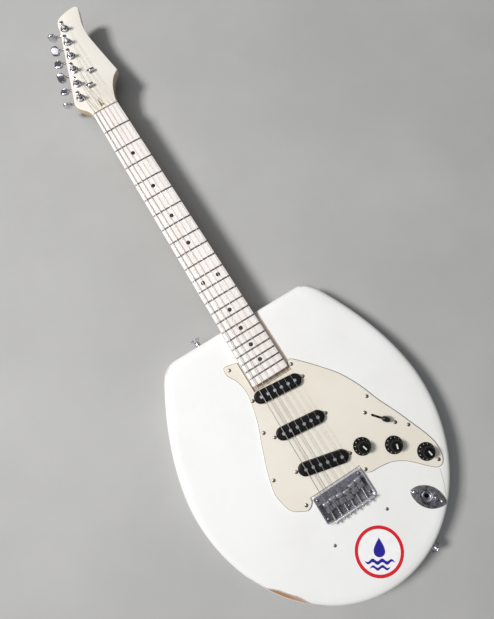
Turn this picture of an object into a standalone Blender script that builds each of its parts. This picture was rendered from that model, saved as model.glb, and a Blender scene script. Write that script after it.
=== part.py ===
"""Electric guitar whose body is a toilet lid on a core slab. It lies on its back, face up.

Metres, +Z up. x = 0 is the neck's centre line, +X the treble side, +Y runs to the headstock.
y = 0 is the lid's widest line and z = 0 the flat back. One object for each physical piece.
"""
import math

import bpy
import bmesh
from mathutils import Matrix, Vector

# Clearances
SEAT = 0.0003               # between two pieces that rest on each other
RUN = 0.0003                # between a turning or sliding piece and what carries it
BORE = 0.0004               # around a screw, bolt or string in its hole

# Body: the lid outline is an ellipse below y = 0 and a tapering flank up to the hinge end
HALF_WIDTH = 0.186
BUTT_REACH = 0.214
HINGE_REACH = 0.200
FLANK_TAPER = 0.354
FLANK_POWER = 1.8
HINGE_CORNER = 0.028
BODY_SHIFT = -0.0025        # the lid sits a little to the bass side of the neck
LID_THICKNESS = 0.0155
CORE_THICKNESS = 0.0292
CORE_INSET = 0.0006
CONTROL_FLOOR = 0.007       # wood left under the control and jack cavities

# Neck and fingerboard
SCALE_LENGTH = 0.648
NUT_WIDTH = 0.042
BOARD_END_WIDTH = 0.0564
BOARD_END_Y = 0.109
BOARD_THICKNESS = 0.0055
BOARD_RADIUS = 0.241
BOARD_ABOVE_LID = 0.0095
FRET_COUNT = 22
FRET_HEIGHT = 0.0011
FRET_WIDTH = 0.0023
HEEL_UNDERLAP = 0.005       # the fingerboard ends this far past the heel
ROD_START = 0.030           # rod channel starts this far from the fingerboard's end
SHAFT_DEPTH = 0.0165
NUT_LENGTH = 0.0038
NUT_HEIGHT = 0.0022         # over the fingerboard
NUT_END_HEIGHT = 0.0013
ROD_WIDTH = 0.0056
ROD_HEIGHT = 0.0052
ROD_CHANNEL_DEPTH = 0.0098
ROD_ACCESS = 0.022          # rod channel past the nut
ROD_NUT_RADIUS = 0.0023
ROD_NUT_LENGTH = 0.0075

# Headstock
HEAD_DROP = 0.008           # face below the fingerboard
HEAD_THICKNESS = 0.014
HEAD_CHAMFER = 0.0008
FIRST_POST = (-0.0242, 0.0398)      # from the nut's middle
POST_SPACING = 0.025
POST_LEAN = math.radians(16.5)

# Tuners
POST_RADIUS = 0.003
POST_WAIST = 0.0024
POST_ABOVE_HEAD = 0.0145
POST_SLIT = 0.0012
WRAP_START = 0.0052         # lowest turn of a winding over the headstock
SLEEVE_RADIUS = 0.0048
TUNER_NUT_RADIUS = 0.0066
TUNER_NUT_HEIGHT = 0.0032
WHEEL_RADIUS = 0.0046
WORM_RADIUS = 0.0022
HOUSING_LENGTH = 0.0185
HOUSING_WIDTH = 0.0180
HOUSING_DEPTH = 0.0112
HOUSING_SHIFT = 0.001       # from the post towards the key
WORM_LENGTH = 0.0058        # past the post, away from the key
KEY_REACH = 0.0265
KEY_WIDTH = 0.0165
KEY_LENGTH = 0.0135
KEY_THICKNESS = 0.0062
KEY_TURNS = (78, 20, 135, 8, 155, 90)
WRAP_TURNS = 2
TURN_POINTS = 8
TURN_GAP = 0.0005

# Strings, low to high
STRING_GAUGES = (0.00107, 0.00086, 0.00066, 0.00046, 0.00034, 0.00028)
BALL_RADIUS = 0.0016
BALL_LENGTH = 0.003
NUT_MARGIN = 0.0035         # from the outer strings to the nut's ends
SADDLE_SPACING = 0.0104
ACTION_NUT = 0.0014         # string's underside over the fingerboard at the nut
ACTION_SADDLE = 0.0045      # the same at the saddles
STRING_LEVEL = 0.0035       # a string runs level this far behind its crown

# Bridge
BRIDGE_FRONT_Y = -0.058
BRIDGE_SHOULDER = 0.00755   # beside the outer saddles
BRIDGE_REAR_ROOM = 0.0125   # behind the rearmost saddle
BRIDGE_FLOOR = 0.0022
BRIDGE_RIM_HEIGHT = 0.0045
BRIDGE_RIM_WIDTH = 0.0028
REAR_WALL = 0.002
WALL_SETBACK = 0.0006
CROWN_INSET = 0.009
TREBLE_COMPENSATION = 0.006
COMPENSATION = (0.0040, 0.0025, 0.0035, 0.0045, 0.0015, 0.0)
SADDLE_GAP = 0.0005
SADDLE_LENGTH = 0.0150
SADDLE_NOSE = 0.0015        # in front of the crown
SADDLE_LIP = 0.004
SADDLE_PLATE = 0.0018
SADDLE_SLOPE = 0.20
SADDLE_LEG = 0.0014
SADDLE_LEG_SPACING = 0.0066
SADDLE_TRAVEL = 0.004
SCREW_AXIS_HEIGHT = 0.005   # intonation screws over the tray's underside
STRING_HOLE_RISE = 0.0042   # string holes over those screws

# Pickguard and pickups, neck to bridge; a tilt lowers the treble end
GUARD_THICKNESS = 0.0023
NECK_CLEARANCE = 0.0015
NECK_STRIP = 0.006          # bare strip between fingerboard and pickguard
PICKUP_NAMES = ("neck", "middle", "bridge")
NECK_PICKUP_GAP = 0.0195    # from the fingerboard's end to the pickup's middle
BRIDGE_PICKUP_GAP = 0.0305  # from the tray's front to the pickup's middle
PICKUP_TILTS = (math.radians(5.4), math.radians(6.6), math.radians(13.1))
COVER_LENGTH = 0.0715
COVER_WIDTH = 0.0180
COVER_WALL = 0.0012
COVER_HEIGHT = 0.0165
COVER_BELOW_BOARD = 0.0005
POLE_RADIUS = 0.0024
POLE_PROUD = 0.0008
PICKUP_SCREW_SPACING = 0.0785
FLATWORK = 0.0018
WIRE_WAY_X = 0.022          # channel under the pickguard that links the pickups
WIRE_WAY_RADIUS = 0.005

# Controls
KNOB_NAMES = ("volume", "tone_1", "tone_2")
KNOB_CENTRES = ((0.0570, -0.0373), (0.0954, -0.0587), (0.1283, -0.0891))
KNOB_RADIUS = 0.0125
KNOB_HEIGHT = 0.0150
KNOB_GAP = 0.0008           # knob over the pickguard and over the bushing
SHAFT_RADIUS = 0.003
POT_RADIUS = 0.0085
POT_HEIGHT = 0.009
POT_BUSH = 0.0036
POT_BUSH_HEIGHT = 0.0055
POT_NUT = (0.0056, 0.0024)  # radius and height
SWITCH_CENTRE = (0.1001, -0.0183)
SWITCH_HEADING = math.radians(-48.7)
SWITCH_SCREW_SPACING = 0.0435
SWITCH_PIVOT_DEPTH = 0.0215
SWITCH_REST = math.radians(11)
SWITCH_SWING = math.radians(22)
SWITCH_PLATE = 0.0014
SWITCH_PLATE_WIDTH = 0.009
SWITCH_FRAME = (0.0230, 0.0015)     # length and thickness of its cheeks
LEVER_DISC = 0.0078
LEVER_PIN = 0.0014
LEVER_WIDTH = 0.0038
LEVER_THICKNESS = 0.0022
TIP_RISE = 0.0038           # tip over the pickguard
TIP_LENGTH = 0.0110
TIP_WIDTH = 0.0070
TIP_HEIGHT = 0.0085

# Jack, strap buttons, trees and the neck plate
JACK_CENTRE = (0.0970, -0.1402)
JACK_HEADING = math.radians(-49.2)
JACK_PLATE_LENGTH = 0.052
JACK_PLATE_WIDTH = 0.029
JACK_PLATE = 0.002
JACK_CUP_RADIUS = 0.0105
JACK_CUP_DEPTH = 0.010
JACK_CUP_WALL = 0.0014
JACK_SLEEVE = 0.0047
JACK_BODY_LENGTH = 0.014
PLUG_RADIUS = 0.0033
BUTTON_RADIUS = 0.0072
BUTTON_LENGTH = 0.0125
BUTTON_SCREW = 0.0015
BUTTON_SCREW_LENGTH = 0.016
BUTTON_BELOW_SEAM = 0.0037
UPPER_BUTTON_X = -0.0651
LOWER_BUTTON_ANGLE = math.radians(68)
TREES = ((-0.0015, 0.050), (0.0115, 0.072))
TREE_BAR = 0.0035           # underside of a tree's bar over the headstock
TREE_SIZE = (0.0125, 0.0042, 0.0020)
TREE_POST = 0.0016
TREE_BITE = 0.008
NECK_PLATE = (0.051, 0.064, 0.0020)
NECK_BOLT_SPACING = (0.038, 0.051)
NECK_BOLT_RADIUS = 0.0023
NECK_BOLT_BITE = 0.013

# Small screws
SCREW_SHANK = 0.0013
SCREW_HEAD = 0.0027
SCREW_HEAD_HEIGHT = 0.0011
SCREW_FLOOR = 0.0055        # wood left in the lid under a screw
TRAY_SCREW_HEAD = 0.0023
SINK = 0.0004               # how far joined shapes run into each other

# Places worked out from the sizes above
CORE_TOP = CORE_THICKNESS
LID_BOTTOM = CORE_TOP + SEAT
LID_TOP = LID_BOTTOM + LID_THICKNESS
BOARD_TOP = LID_TOP + BOARD_ABOVE_LID
NECK_TOP = BOARD_TOP - BOARD_THICKNESS - SEAT
HEEL_BOTTOM = CORE_TOP + SEAT
HEAD_FACE = BOARD_TOP - HEAD_DROP
HEAD_BACK = HEAD_FACE - HEAD_THICKNESS
SCREW_END = LID_BOTTOM + SCREW_FLOOR
TREBLE_CROWN_Y = BRIDGE_FRONT_Y - CROWN_INSET
NUT_Y = TREBLE_CROWN_Y + SCALE_LENGTH + TREBLE_COMPENSATION
HEEL_END_Y = BOARD_END_Y + HEEL_UNDERLAP
NUT_SPACING = (NUT_WIDTH - 2 * NUT_MARGIN) / 5
SADDLE_WIDTH = SADDLE_SPACING - SADDLE_GAP
BRIDGE_WIDTH = 6 * SADDLE_SPACING + 2 * BRIDGE_SHOULDER
BRIDGE_DEPTH = CROWN_INSET + max(COMPENSATION) + SADDLE_LENGTH + BRIDGE_REAR_ROOM
BRIDGE_REAR_Y = BRIDGE_FRONT_Y - BRIDGE_DEPTH
NECK_PICKUP_Y = BOARD_END_Y - NECK_PICKUP_GAP
BRIDGE_PICKUP_Y = BRIDGE_FRONT_Y + BRIDGE_PICKUP_GAP
PICKUP_CENTRES = ((0, NECK_PICKUP_Y), (0, (NECK_PICKUP_Y + BRIDGE_PICKUP_Y) / 2),
                  (0, BRIDGE_PICKUP_Y))
GUARD_BOTTOM = LID_TOP + SEAT
GUARD_TOP = GUARD_BOTTOM + GUARD_THICKNESS
TRAY_BOTTOM = LID_TOP + SEAT
TRAY_FLOOR = TRAY_BOTTOM + BRIDGE_FLOOR
SCREW_Z = TRAY_BOTTOM + SCREW_AXIS_HEIGHT
STRING_HOLE_Z = SCREW_Z + STRING_HOLE_RISE
COVER_TOP = BOARD_TOP - COVER_BELOW_BOARD
COVER_BOTTOM = COVER_TOP - COVER_HEIGHT
BUTTON_Z = CORE_TOP - BUTTON_BELOW_SEAM
WORM_OFFSET = WHEEL_RADIUS + WORM_RADIUS + RUN
COLLAR_PLACE = HOUSING_LENGTH / 2 + HOUSING_SHIFT + RUN
KEYWARD = Vector((-math.cos(POST_LEAN), math.sin(POST_LEAN), 0))
ALONG_POSTS = Vector((math.sin(POST_LEAN), math.cos(POST_LEAN), 0))


def look(name, rgb, roughness, metallic=0.0):
    """Return a plain Principled material."""
    material = bpy.data.materials.new(name)
    material.use_nodes = True
    shader = material.node_tree.nodes["Principled BSDF"]
    shader.inputs["Base Color"].default_value = (*rgb, 1)
    shader.inputs["Roughness"].default_value = roughness
    shader.inputs["Metallic"].default_value = metallic
    material.diffuse_color = (*rgb, 1)
    return material


ENAMEL = look("white_enamel", (0.88, 0.88, 0.86), 0.25)
BODY_WOOD = look("painted_wood", (0.80, 0.79, 0.76), 0.4)
MAPLE = look("maple", (0.82, 0.74, 0.60), 0.4)
BOARD_WOOD = look("pale_fingerboard", (0.86, 0.79, 0.73), 0.4)
BONE = look("bone", (0.90, 0.86, 0.78), 0.4)
CREAM = look("cream_plastic", (0.84, 0.78, 0.67), 0.35)
BLACK = look("black_plastic", (0.02, 0.02, 0.02), 0.3)
CHROME = look("chrome", (0.75, 0.75, 0.77), 0.15, 1.0)
STEEL = look("steel", (0.55, 0.55, 0.56), 0.3, 1.0)
COPPER = look("copper_wire", (0.30, 0.12, 0.05), 0.4, 0.6)


def skin(mesh, rings, closed):
    """Join equal rings of points with faces, and cap both ends unless they form a loop."""
    loops = [[mesh.verts.new(point) for point in ring] for ring in rings]
    pairs = list(zip(loops, loops[1:]))
    if closed:
        pairs.append((loops[-1], loops[0]))
    else:
        mesh.faces.new(reversed(loops[0]))
        mesh.faces.new(loops[-1])
    for lower, upper in pairs:
        for i in range(len(lower)):
            mesh.faces.new((lower[i - 1], lower[i], upper[i], upper[i - 1]))


def solid(name, shells, material=STEEL, closed=False):
    """Make one object from one or more stacks of rings."""
    mesh = bmesh.new()
    for rings in shells:
        skin(mesh, rings, closed)
    bmesh.ops.recalc_face_normals(mesh, faces=mesh.faces)
    data = bpy.data.meshes.new(name)
    mesh.to_mesh(data)
    mesh.free()
    data.materials.append(material)
    data.shade_smooth()
    data.set_sharp_from_angle(angle=math.radians(35))
    thing = bpy.data.objects.new(name, data)
    bpy.context.collection.objects.link(thing)
    return thing


def combine(thing, other, operation):
    """Cut another object out of this one or join it, and keep it as a hidden guide."""
    other.hide_render = True
    other.display_type = "WIRE"
    modifier = thing.modifiers.new(other.name, "BOOLEAN")
    modifier.operation = operation
    modifier.solver = "EXACT"
    modifier.object = other


def cut(thing, name, shells):
    """Cut shells that don't touch each other out of an object."""
    combine(thing, solid(name, shells), "DIFFERENCE")


def join(thing, name, shells):
    """Join shells that don't touch each other to an object."""
    combine(thing, solid(name, shells), "UNION")


def ring_at(outline, z):
    return [Vector((x, y, z)) for x, y in outline]


def prism(outline, bottom, top):
    return [ring_at(outline, bottom), ring_at(outline, top)]


def disc(x, y, radius, sides=12):
    return [(x + radius * math.cos(math.tau * i / sides), y + radius * math.sin(math.tau * i / sides))
            for i in range(sides)]


def turned(profile, x=0.0, y=0.0, sides=12):
    """Rings of a turned shape, from its (radius, z) profile."""
    return [ring_at(disc(x, y, radius, sides), z) for radius, z in profile]


def moved(rings, matrix):
    return [[matrix @ point for point in ring] for ring in rings]


def facing(x, y, z):
    """Frame whose local Z points along +Y."""
    return Matrix.Translation((x, y, z)) @ Matrix.Rotation(-math.pi / 2, 4, "X")


def slot(x, y, length, width, heading=0.0, steps=4):
    """Outline with round ends, length from end to end."""
    reach = (length - width) / 2
    turn = Matrix.Rotation(heading, 2)
    points = []
    for side in (1, -1):
        for i in range(steps + 1):
            angle = math.pi * (i / steps - 0.5)
            point = Vector((reach + math.cos(angle) * width / 2, math.sin(angle) * width / 2))
            points.append(tuple(Vector((x, y)) + turn @ (side * point)))
    return points


def rounded_box(x, y, width, depth, radius, steps=3):
    """Rectangle outline with round corners."""
    points = []
    for quarter, (sx, sy) in enumerate(((1, 1), (-1, 1), (-1, -1), (1, -1))):
        for i in range(steps + 1):
            angle = (quarter + i / steps) * math.pi / 2
            points.append((x + sx * (width / 2 - radius) + radius * math.cos(angle),
                           y + sy * (depth / 2 - radius) + radius * math.sin(angle)))
    return points


def box(x, y, width, depth):
    return [(x - width / 2, y - depth / 2), (x + width / 2, y - depth / 2),
            (x + width / 2, y + depth / 2), (x - width / 2, y + depth / 2)]


def curve_through(points, sharp, steps):
    """Closed smooth outline through the points, with a corner at each index in sharp."""
    count = len(points)
    outline = []
    for i in range(count):
        after = (i + 1) % count
        start = Vector(points[i])
        end = Vector(points[after])
        if i in sharp and after in sharp:
            outline.append(tuple(start))
            continue
        out_of = (end - (start if i in sharp else Vector(points[i - 1]))) / 2
        into = ((end if after in sharp else Vector(points[(i + 2) % count])) - start) / 2
        for k in range(steps):
            t = k / steps
            outline.append(tuple((2 * t**3 - 3 * t**2 + 1) * start + (t**3 - 2 * t**2 + t) * out_of
                                 + (3 * t**2 - 2 * t**3) * end + (t**3 - t**2) * into))
    return outline


def inset(outline, distance):
    """Move a counter-clockwise outline inwards along its corner normals."""
    points = [Vector(point) for point in outline]
    result = []
    for i, point in enumerate(points):
        before = (point - points[i - 1]).normalized()
        after = (points[(i + 1) % len(points)] - point).normalized()
        normal = Vector((-before.y - after.y, before.x + after.x)).normalized()
        reach = max(0.5, normal.dot(Vector((-before.y, before.x))))
        result.append(tuple(point + normal * distance / reach))
    return result


def hull_of_discs(discs, sides=12):
    """Convex outline round a set of (x, y, radius) discs."""
    points = sorted(point for x, y, radius in discs for point in disc(x, y, radius, sides))
    hull = []
    for row in (points, points[::-1]):
        chain = []
        for point in row:
            while len(chain) > 1:
                a = Vector(chain[-1]) - Vector(chain[-2])
                b = Vector(point) - Vector(chain[-1])
                if a.x * b.y - a.y * b.x > 1e-9:
                    break
                chain.pop()
            chain.append(point)
        hull += chain[:-1]
    return hull


def screw(x, y, seat_z, bottom_z, head=SCREW_HEAD):
    """Rings of a screw whose head stands on seat_z."""
    return turned([(SCREW_SHANK, bottom_z), (SCREW_SHANK, seat_z), (head, seat_z),
                   (head * 0.75, seat_z + SCREW_HEAD_HEIGHT)], x, y, 8)


def flank(y):
    """Half the body's width above its widest line."""
    return HALF_WIDTH * (1 - (y / FLANK_TAPER) ** FLANK_POWER)


def flank_slope(y):
    return HALF_WIDTH * FLANK_POWER / FLANK_TAPER * (y / FLANK_TAPER) ** (FLANK_POWER - 1)


def body_outline(inward):
    """Counter-clockwise outline of the lid, moved in along its normals."""
    lean = 0.5
    for _ in range(8):
        meet = HINGE_REACH - HINGE_CORNER * (1 - math.sin(lean))
        lean = math.atan(flank_slope(meet))
    right = []
    for i in range(14):
        across = math.sin(math.pi / 2 * i / 14)
        along = -math.cos(math.pi / 2 * i / 14)
        normal = Vector((across * BUTT_REACH, along * HALF_WIDTH)).normalized()
        right.append(Vector((across * HALF_WIDTH, along * BUTT_REACH)) - normal * inward)
    for i in range(7):
        y = meet * i / 7
        normal = Vector((1, flank_slope(y))).normalized()
        right.append(Vector((flank(y), y)) - normal * inward)
    centre = Vector((flank(meet) - HINGE_CORNER * math.cos(lean), HINGE_REACH - HINGE_CORNER))
    for i in range(5):
        angle = lean + (math.pi / 2 - lean) * i / 4
        right.append(centre + (HINGE_CORNER - inward) * Vector((math.cos(angle), math.sin(angle))))
    left = [Vector((-point.x, point.y)) for point in reversed(right[1:])]
    return [(point.x + BODY_SHIFT, point.y) for point in right + left]


def neck_half(y):
    """Half the neck's width at a place along it."""
    share = (NUT_Y - y) / (NUT_Y - BOARD_END_Y)
    return (NUT_WIDTH + (BOARD_END_WIDTH - NUT_WIDTH) * share) / 2


def sag(x):
    """How far the fingerboard's round top drops at a distance from its middle."""
    return BOARD_RADIUS - math.sqrt(BOARD_RADIUS**2 - x**2)


def string_radius(i):
    return STRING_GAUGES[i] / 2


def nut_x(i):
    return (i - 2.5) * NUT_SPACING


def saddle_x(i):
    return (i - 2.5) * SADDLE_SPACING


def crown_y(i):
    return TREBLE_CROWN_Y - COMPENSATION[i]


def crown_z(i):
    """Height of the string's centre over its saddle."""
    return BOARD_TOP + ACTION_SADDLE - sag(saddle_x(i)) + string_radius(i)


def post_place(i):
    """Place of a tuner post in the headstock, counted from the low string."""
    first = Vector((FIRST_POST[0], NUT_Y + FIRST_POST[1], 0))
    return first + ALONG_POSTS * (i * POST_SPACING)


def neck_plate_y():
    return (HEEL_END_Y + HINGE_REACH) / 2


def neck_bolts():
    across, along = NECK_BOLT_SPACING
    return [(sx * across / 2, neck_plate_y() + sy * along / 2)
            for sx, sy in ((-1, -1), (1, -1), (1, 1), (-1, 1))]


def guard_screws():
    """Places of the pickguard's screws."""
    horn = BOARD_END_Y - NECK_STRIP
    return ((0.1006, 0.0153), (0.1285, -0.0472), (0.1375, -0.1072),
            (BRIDGE_WIDTH / 2 + 0.0058, BRIDGE_FRONT_Y - 0.0072), (-0.0497, -0.0620),
            (-0.0702, -0.0117), (-0.0487, 0.0485), (0.0345, horn + 0.0055),
            (-0.0450, horn + 0.0435))


def tray_screws():
    """Places of the tray's screws: two front corners and three along the rear."""
    front = BRIDGE_FRONT_Y - BRIDGE_RIM_WIDTH - 0.0042
    rear = BRIDGE_REAR_Y + WALL_SETBACK + REAR_WALL + 0.0038
    side = 3 * SADDLE_SPACING + (BRIDGE_SHOULDER - BRIDGE_RIM_WIDTH) / 2
    return ((-side, front), (side, front), (-side, rear), (0.0, rear), (side, rear))


def jack_screws():
    reach = JACK_PLATE_LENGTH / 2 - 0.0062
    across = reach * math.cos(JACK_HEADING)
    along = reach * math.sin(JACK_HEADING)
    x, y = JACK_CENTRE
    return ((x - across, y - along), (x + across, y + along))


def switch_screws():
    reach = SWITCH_SCREW_SPACING / 2
    across = reach * math.cos(SWITCH_HEADING)
    along = reach * math.sin(SWITCH_HEADING)
    x, y = SWITCH_CENTRE
    return ((x - across, y - along), (x + across, y + along))


def height_screws(x, y, tilt):
    """Places of a pickup's two height screws."""
    reach = PICKUP_SCREW_SPACING / 2
    return [(x + end * reach * math.cos(tilt), y - end * reach * math.sin(tilt))
            for end in (-1, 1)]


def pole_places(x, y, tilt):
    return [(x + saddle_x(i) * math.cos(tilt), y - saddle_x(i) * math.sin(tilt)) for i in range(6)]


def button_places():
    """Frames of the two strap buttons: local Z points out of the body's edge."""
    across = math.cos(LOWER_BUTTON_ANGLE)
    along = -math.sin(LOWER_BUTTON_ANGLE)
    outward = Vector((across * BUTT_REACH, along * HALF_WIDTH, 0))
    lower = Matrix.Translation((across * HALF_WIDTH + BODY_SHIFT, along * BUTT_REACH, BUTTON_Z)) \
        @ outward.to_track_quat("Z", "Y").to_matrix().to_4x4()
    return facing(UPPER_BUTTON_X, HINGE_REACH, BUTTON_Z), lower


def control_cavity():
    """Room for the pots and the switch, the same in the lid and in the core."""
    discs = [(x, y, POT_RADIUS + 0.001) for x, y in KNOB_CENTRES]
    discs += [(x, y, 0.0090) for x, y in switch_screws()]
    return hull_of_discs(discs)


def make_lid():
    rim = ((CORE_INSET, LID_THICKNESS), (0.0, 0.0095), (0.0009, 0.0055), (0.0031, 0.0026),
           (0.0065, 0.0008), (0.012, 0.0))
    lid = solid("toilet_lid", [[ring_at(body_outline(inward), LID_TOP - drop)
                                for inward, drop in rim]], ENAMEL)
    below = LID_BOTTOM - 0.002
    above = LID_TOP + 0.002
    mouth = HINGE_REACH + 0.01
    low = neck_half(HEEL_END_Y) + SEAT
    high = neck_half(mouth) + SEAT
    pocket = [(-low, HEEL_END_Y - SEAT), (low, HEEL_END_Y - SEAT), (high, mouth), (-high, mouth)]
    cut(lid, "neck_pocket", [prism(pocket, below, above)])
    cut(lid, "pickup_slots", [prism(slot(x, y, PICKUP_SCREW_SPACING + 0.0062, COVER_WIDTH + 0.0016,
                                         -tilt), below, above)
                              for (x, y), tilt in zip(PICKUP_CENTRES, PICKUP_TILTS)])
    last = (WIRE_WAY_X, BRIDGE_PICKUP_Y, WIRE_WAY_RADIUS)
    wire_way = hull_of_discs([(WIRE_WAY_X, NECK_PICKUP_Y, WIRE_WAY_RADIUS), last], 8)
    cut(lid, "wire_way", [prism(wire_way, below, above)])
    control_way = hull_of_discs([last, (*KNOB_CENTRES[0], WIRE_WAY_RADIUS)], 8)
    cut(lid, "control_way", [prism(control_way, below, above)])
    cut(lid, "lid_controls", [prism(control_cavity(), below, above)])
    cup = JACK_CUP_RADIUS + JACK_CUP_WALL + 0.001
    cut(lid, "lid_jack", [prism(disc(*JACK_CENTRE, cup, 16), below, above)])
    places = guard_screws() + tray_screws() + jack_screws()
    cut(lid, "screw_bores", [prism(disc(x, y, SCREW_SHANK + BORE, 6), SCREW_END - BORE, above)
                             for x, y in places])


def make_core():
    edge = ((0.005, 0.0), (0.0015, 0.0012), (0.0, 0.0048), (0.0, CORE_THICKNESS))
    core = solid("body_core", [[ring_at(body_outline(CORE_INSET + inward), z)
                                for inward, z in edge]], BODY_WOOD)
    above = CORE_TOP + 0.002
    cut(core, "core_controls", [prism(control_cavity(), CONTROL_FLOOR, above)])
    jack_way = hull_of_discs([(*JACK_CENTRE, JACK_CUP_RADIUS + JACK_CUP_WALL + 0.001),
                              (*KNOB_CENTRES[2], 0.006)])
    cut(core, "core_jack", [prism(jack_way, CONTROL_FLOOR + 0.001, above)])
    width, depth, thickness = NECK_PLATE
    recess = rounded_box(0, neck_plate_y(), width + 2 * SEAT, depth + 2 * SEAT, 0.0045)
    cut(core, "plate_recess", [prism(recess, -0.002, thickness + 2 * SEAT)])
    cut(core, "bolt_bores", [prism(disc(x, y, NECK_BOLT_RADIUS + BORE, 8), thickness, above)
                             for x, y in neck_bolts()])
    bore = BUTTON_SCREW + BORE
    cut(core, "button_bores", [moved(turned([(bore, -BUTTON_SCREW_LENGTH - BORE), (bore, 0.004)],
                                            sides=8), place) for place in button_places()])


def neck_section(y, half, top, depth, power):
    """Section with a flat top and a round underside; a high power makes it square."""
    ring = []
    for i in range(11):
        across = math.cos(math.pi * i / 10)
        down = abs(math.sin(math.pi * i / 10))
        ring.append(Vector((half * math.copysign(abs(across) ** (2 / power), across), y,
                            top - depth * down ** (2 / power))))
    return ring


def head_outline():
    """Headstock outline: the tuner side follows the posts, the far side sweeps round."""
    first = post_place(0)
    last = post_place(5)
    span = last.y - first.y
    low = first + KEYWARD * 0.0111 - ALONG_POSTS * 0.0092
    top = last + KEYWARD * 0.0080 - ALONG_POSTS * 0.0020
    root = NUT_WIDTH / 2
    points = [(root, NUT_Y + 0.004), (root + 0.0012, NUT_Y + 0.014), (0.0285, first.y - 0.0078),
              (0.0375, first.y + 0.0062), (0.0484, first.y + 0.0147), (0.0445, first.y + span * 0.335),
              (0.0405, first.y + span * 0.569), (0.0378, first.y + span * 0.769),
              (last.x + 0.0277, last.y - 0.0067), (last.x + 0.0325, last.y + 0.0113),
              (last.x + 0.0365, last.y + 0.0243), (last.x + 0.0312, last.y + 0.0288),
              (last.x + 0.0147, last.y + 0.0268), (last.x - 0.0008, last.y + 0.0208),
              (last.x - 0.0068, last.y + 0.0103), (top.x, top.y), (low.x, low.y),
              (low.x + 0.0025, low.y - 0.0070), (low.x + 0.0075, low.y - 0.0145),
              (-root - 0.0025, NUT_Y + 0.012), (-root, NUT_Y + 0.004)]
    return curve_through(points, (0, 4, 10, 15, 16, 20), 2)


def make_neck():
    heel = NECK_TOP - HEEL_BOTTOM
    past_nut = NUT_Y + NUT_LENGTH + 0.0008
    stations = ((HEEL_END_Y, heel, 14), (HINGE_REACH + 0.002, heel, 14),
                (HINGE_REACH + 0.012, SHAFT_DEPTH + 0.002, 5), (HINGE_REACH + 0.028, SHAFT_DEPTH, 2.6),
                (NUT_Y - 0.2, SHAFT_DEPTH - 0.0005, 2.3), (NUT_Y - 0.02, SHAFT_DEPTH - 0.0015, 2.2),
                (past_nut, SHAFT_DEPTH - 0.0012, 2.4))
    rings = [neck_section(y, neck_half(y), NECK_TOP, depth, power) for y, depth, power in stations]
    root = NUT_WIDTH / 2
    rings.append(neck_section(past_nut + 0.004, root - 0.0004, HEAD_FACE - 0.0004,
                              SHAFT_DEPTH - 0.0035, 3))
    rings.append(neck_section(past_nut + 0.013, root - 0.003, HEAD_FACE - 0.002,
                              SHAFT_DEPTH - 0.006, 3))
    neck = solid("neck", [rings], MAPLE)
    face = head_outline()
    edge = inset(face, HEAD_CHAMFER)
    join(neck, "headstock", [[ring_at(edge, HEAD_BACK), ring_at(face, HEAD_BACK + HEAD_CHAMFER),
                              ring_at(face, HEAD_FACE - HEAD_CHAMFER), ring_at(edge, HEAD_FACE)]])
    near = BOARD_END_Y + ROD_START
    far = NUT_Y + ROD_ACCESS
    channel = box(0, (near + far) / 2, ROD_WIDTH + 2 * SEAT, far - near)
    cut(neck, "rod_channel", [prism(channel, NECK_TOP - ROD_CHANNEL_DEPTH, NECK_TOP + 0.003)])
    cut(neck, "sleeve_bores", [prism(disc(post_place(i).x, post_place(i).y, SLEEVE_RADIUS + SEAT, 10),
                                     HEAD_BACK - 0.002, HEAD_FACE + 0.002) for i in range(6)])
    cut(neck, "heel_bores", [prism(disc(x, y, NECK_BOLT_RADIUS + BORE, 8), HEEL_BOTTOM - 0.002,
                                   HEEL_BOTTOM + NECK_BOLT_BITE + BORE) for x, y in neck_bolts()])
    cut(neck, "tree_bores", [prism(disc(x, NUT_Y + y, TREE_POST + BORE, 8),
                                   HEAD_FACE - TREE_BITE - BORE, HEAD_FACE + 0.002)
                             for x, y in TREES])


def board_section(y, narrow, lift):
    """Section of the fingerboard with its round top, lifted where a fret crosses it."""
    half = neck_half(y) - narrow
    bottom = NECK_TOP + SEAT
    ring = [Vector((-half, y, bottom)), Vector((half, y, bottom))]
    for x in (half, half / 2, 0.0, -half / 2, -half):
        ring.append(Vector((x, y, BOARD_TOP - sag(x) + lift)))
    return ring


def make_fingerboard():
    rings = [board_section(NUT_Y - SEAT, 0, 0)]
    for number in range(1, FRET_COUNT + 1):
        y = NUT_Y - SCALE_LENGTH * (1 - 2 ** (-number / 12))
        if y > BOARD_END_Y + 0.004:
            for offset, lift in ((0.5, 0), (0, FRET_HEIGHT), (-0.5, 0)):
                rings.append(board_section(y + offset * FRET_WIDTH, 0, lift))
    rings.append(board_section(BOARD_END_Y + 0.002, 0, 0))
    rings.append(board_section(BOARD_END_Y, 0.002, 0))
    solid("fingerboard", [rings], BOARD_WOOD)


def make_nut():
    """Nut with a notch for each string: an outline in XZ that runs along Y."""
    half = NUT_WIDTH / 2
    end = BOARD_TOP - sag(half) + NUT_END_HEIGHT
    outline = [(-half, NECK_TOP + SEAT), (half, NECK_TOP + SEAT), (half, end)]
    for i in reversed(range(6)):
        x = nut_x(i)
        top = BOARD_TOP - sag(x) + NUT_HEIGHT
        floor = BOARD_TOP - sag(x) + ACTION_NUT - RUN
        reach = string_radius(i) + RUN
        outline += [(x + reach, top), (x + reach, floor), (x - reach, floor), (x - reach, top)]
    outline.append((-half, end))
    solid("nut", [[[Vector((x, y, z)) for x, z in outline] for y in (NUT_Y, NUT_Y + NUT_LENGTH)]],
          BONE)


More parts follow.
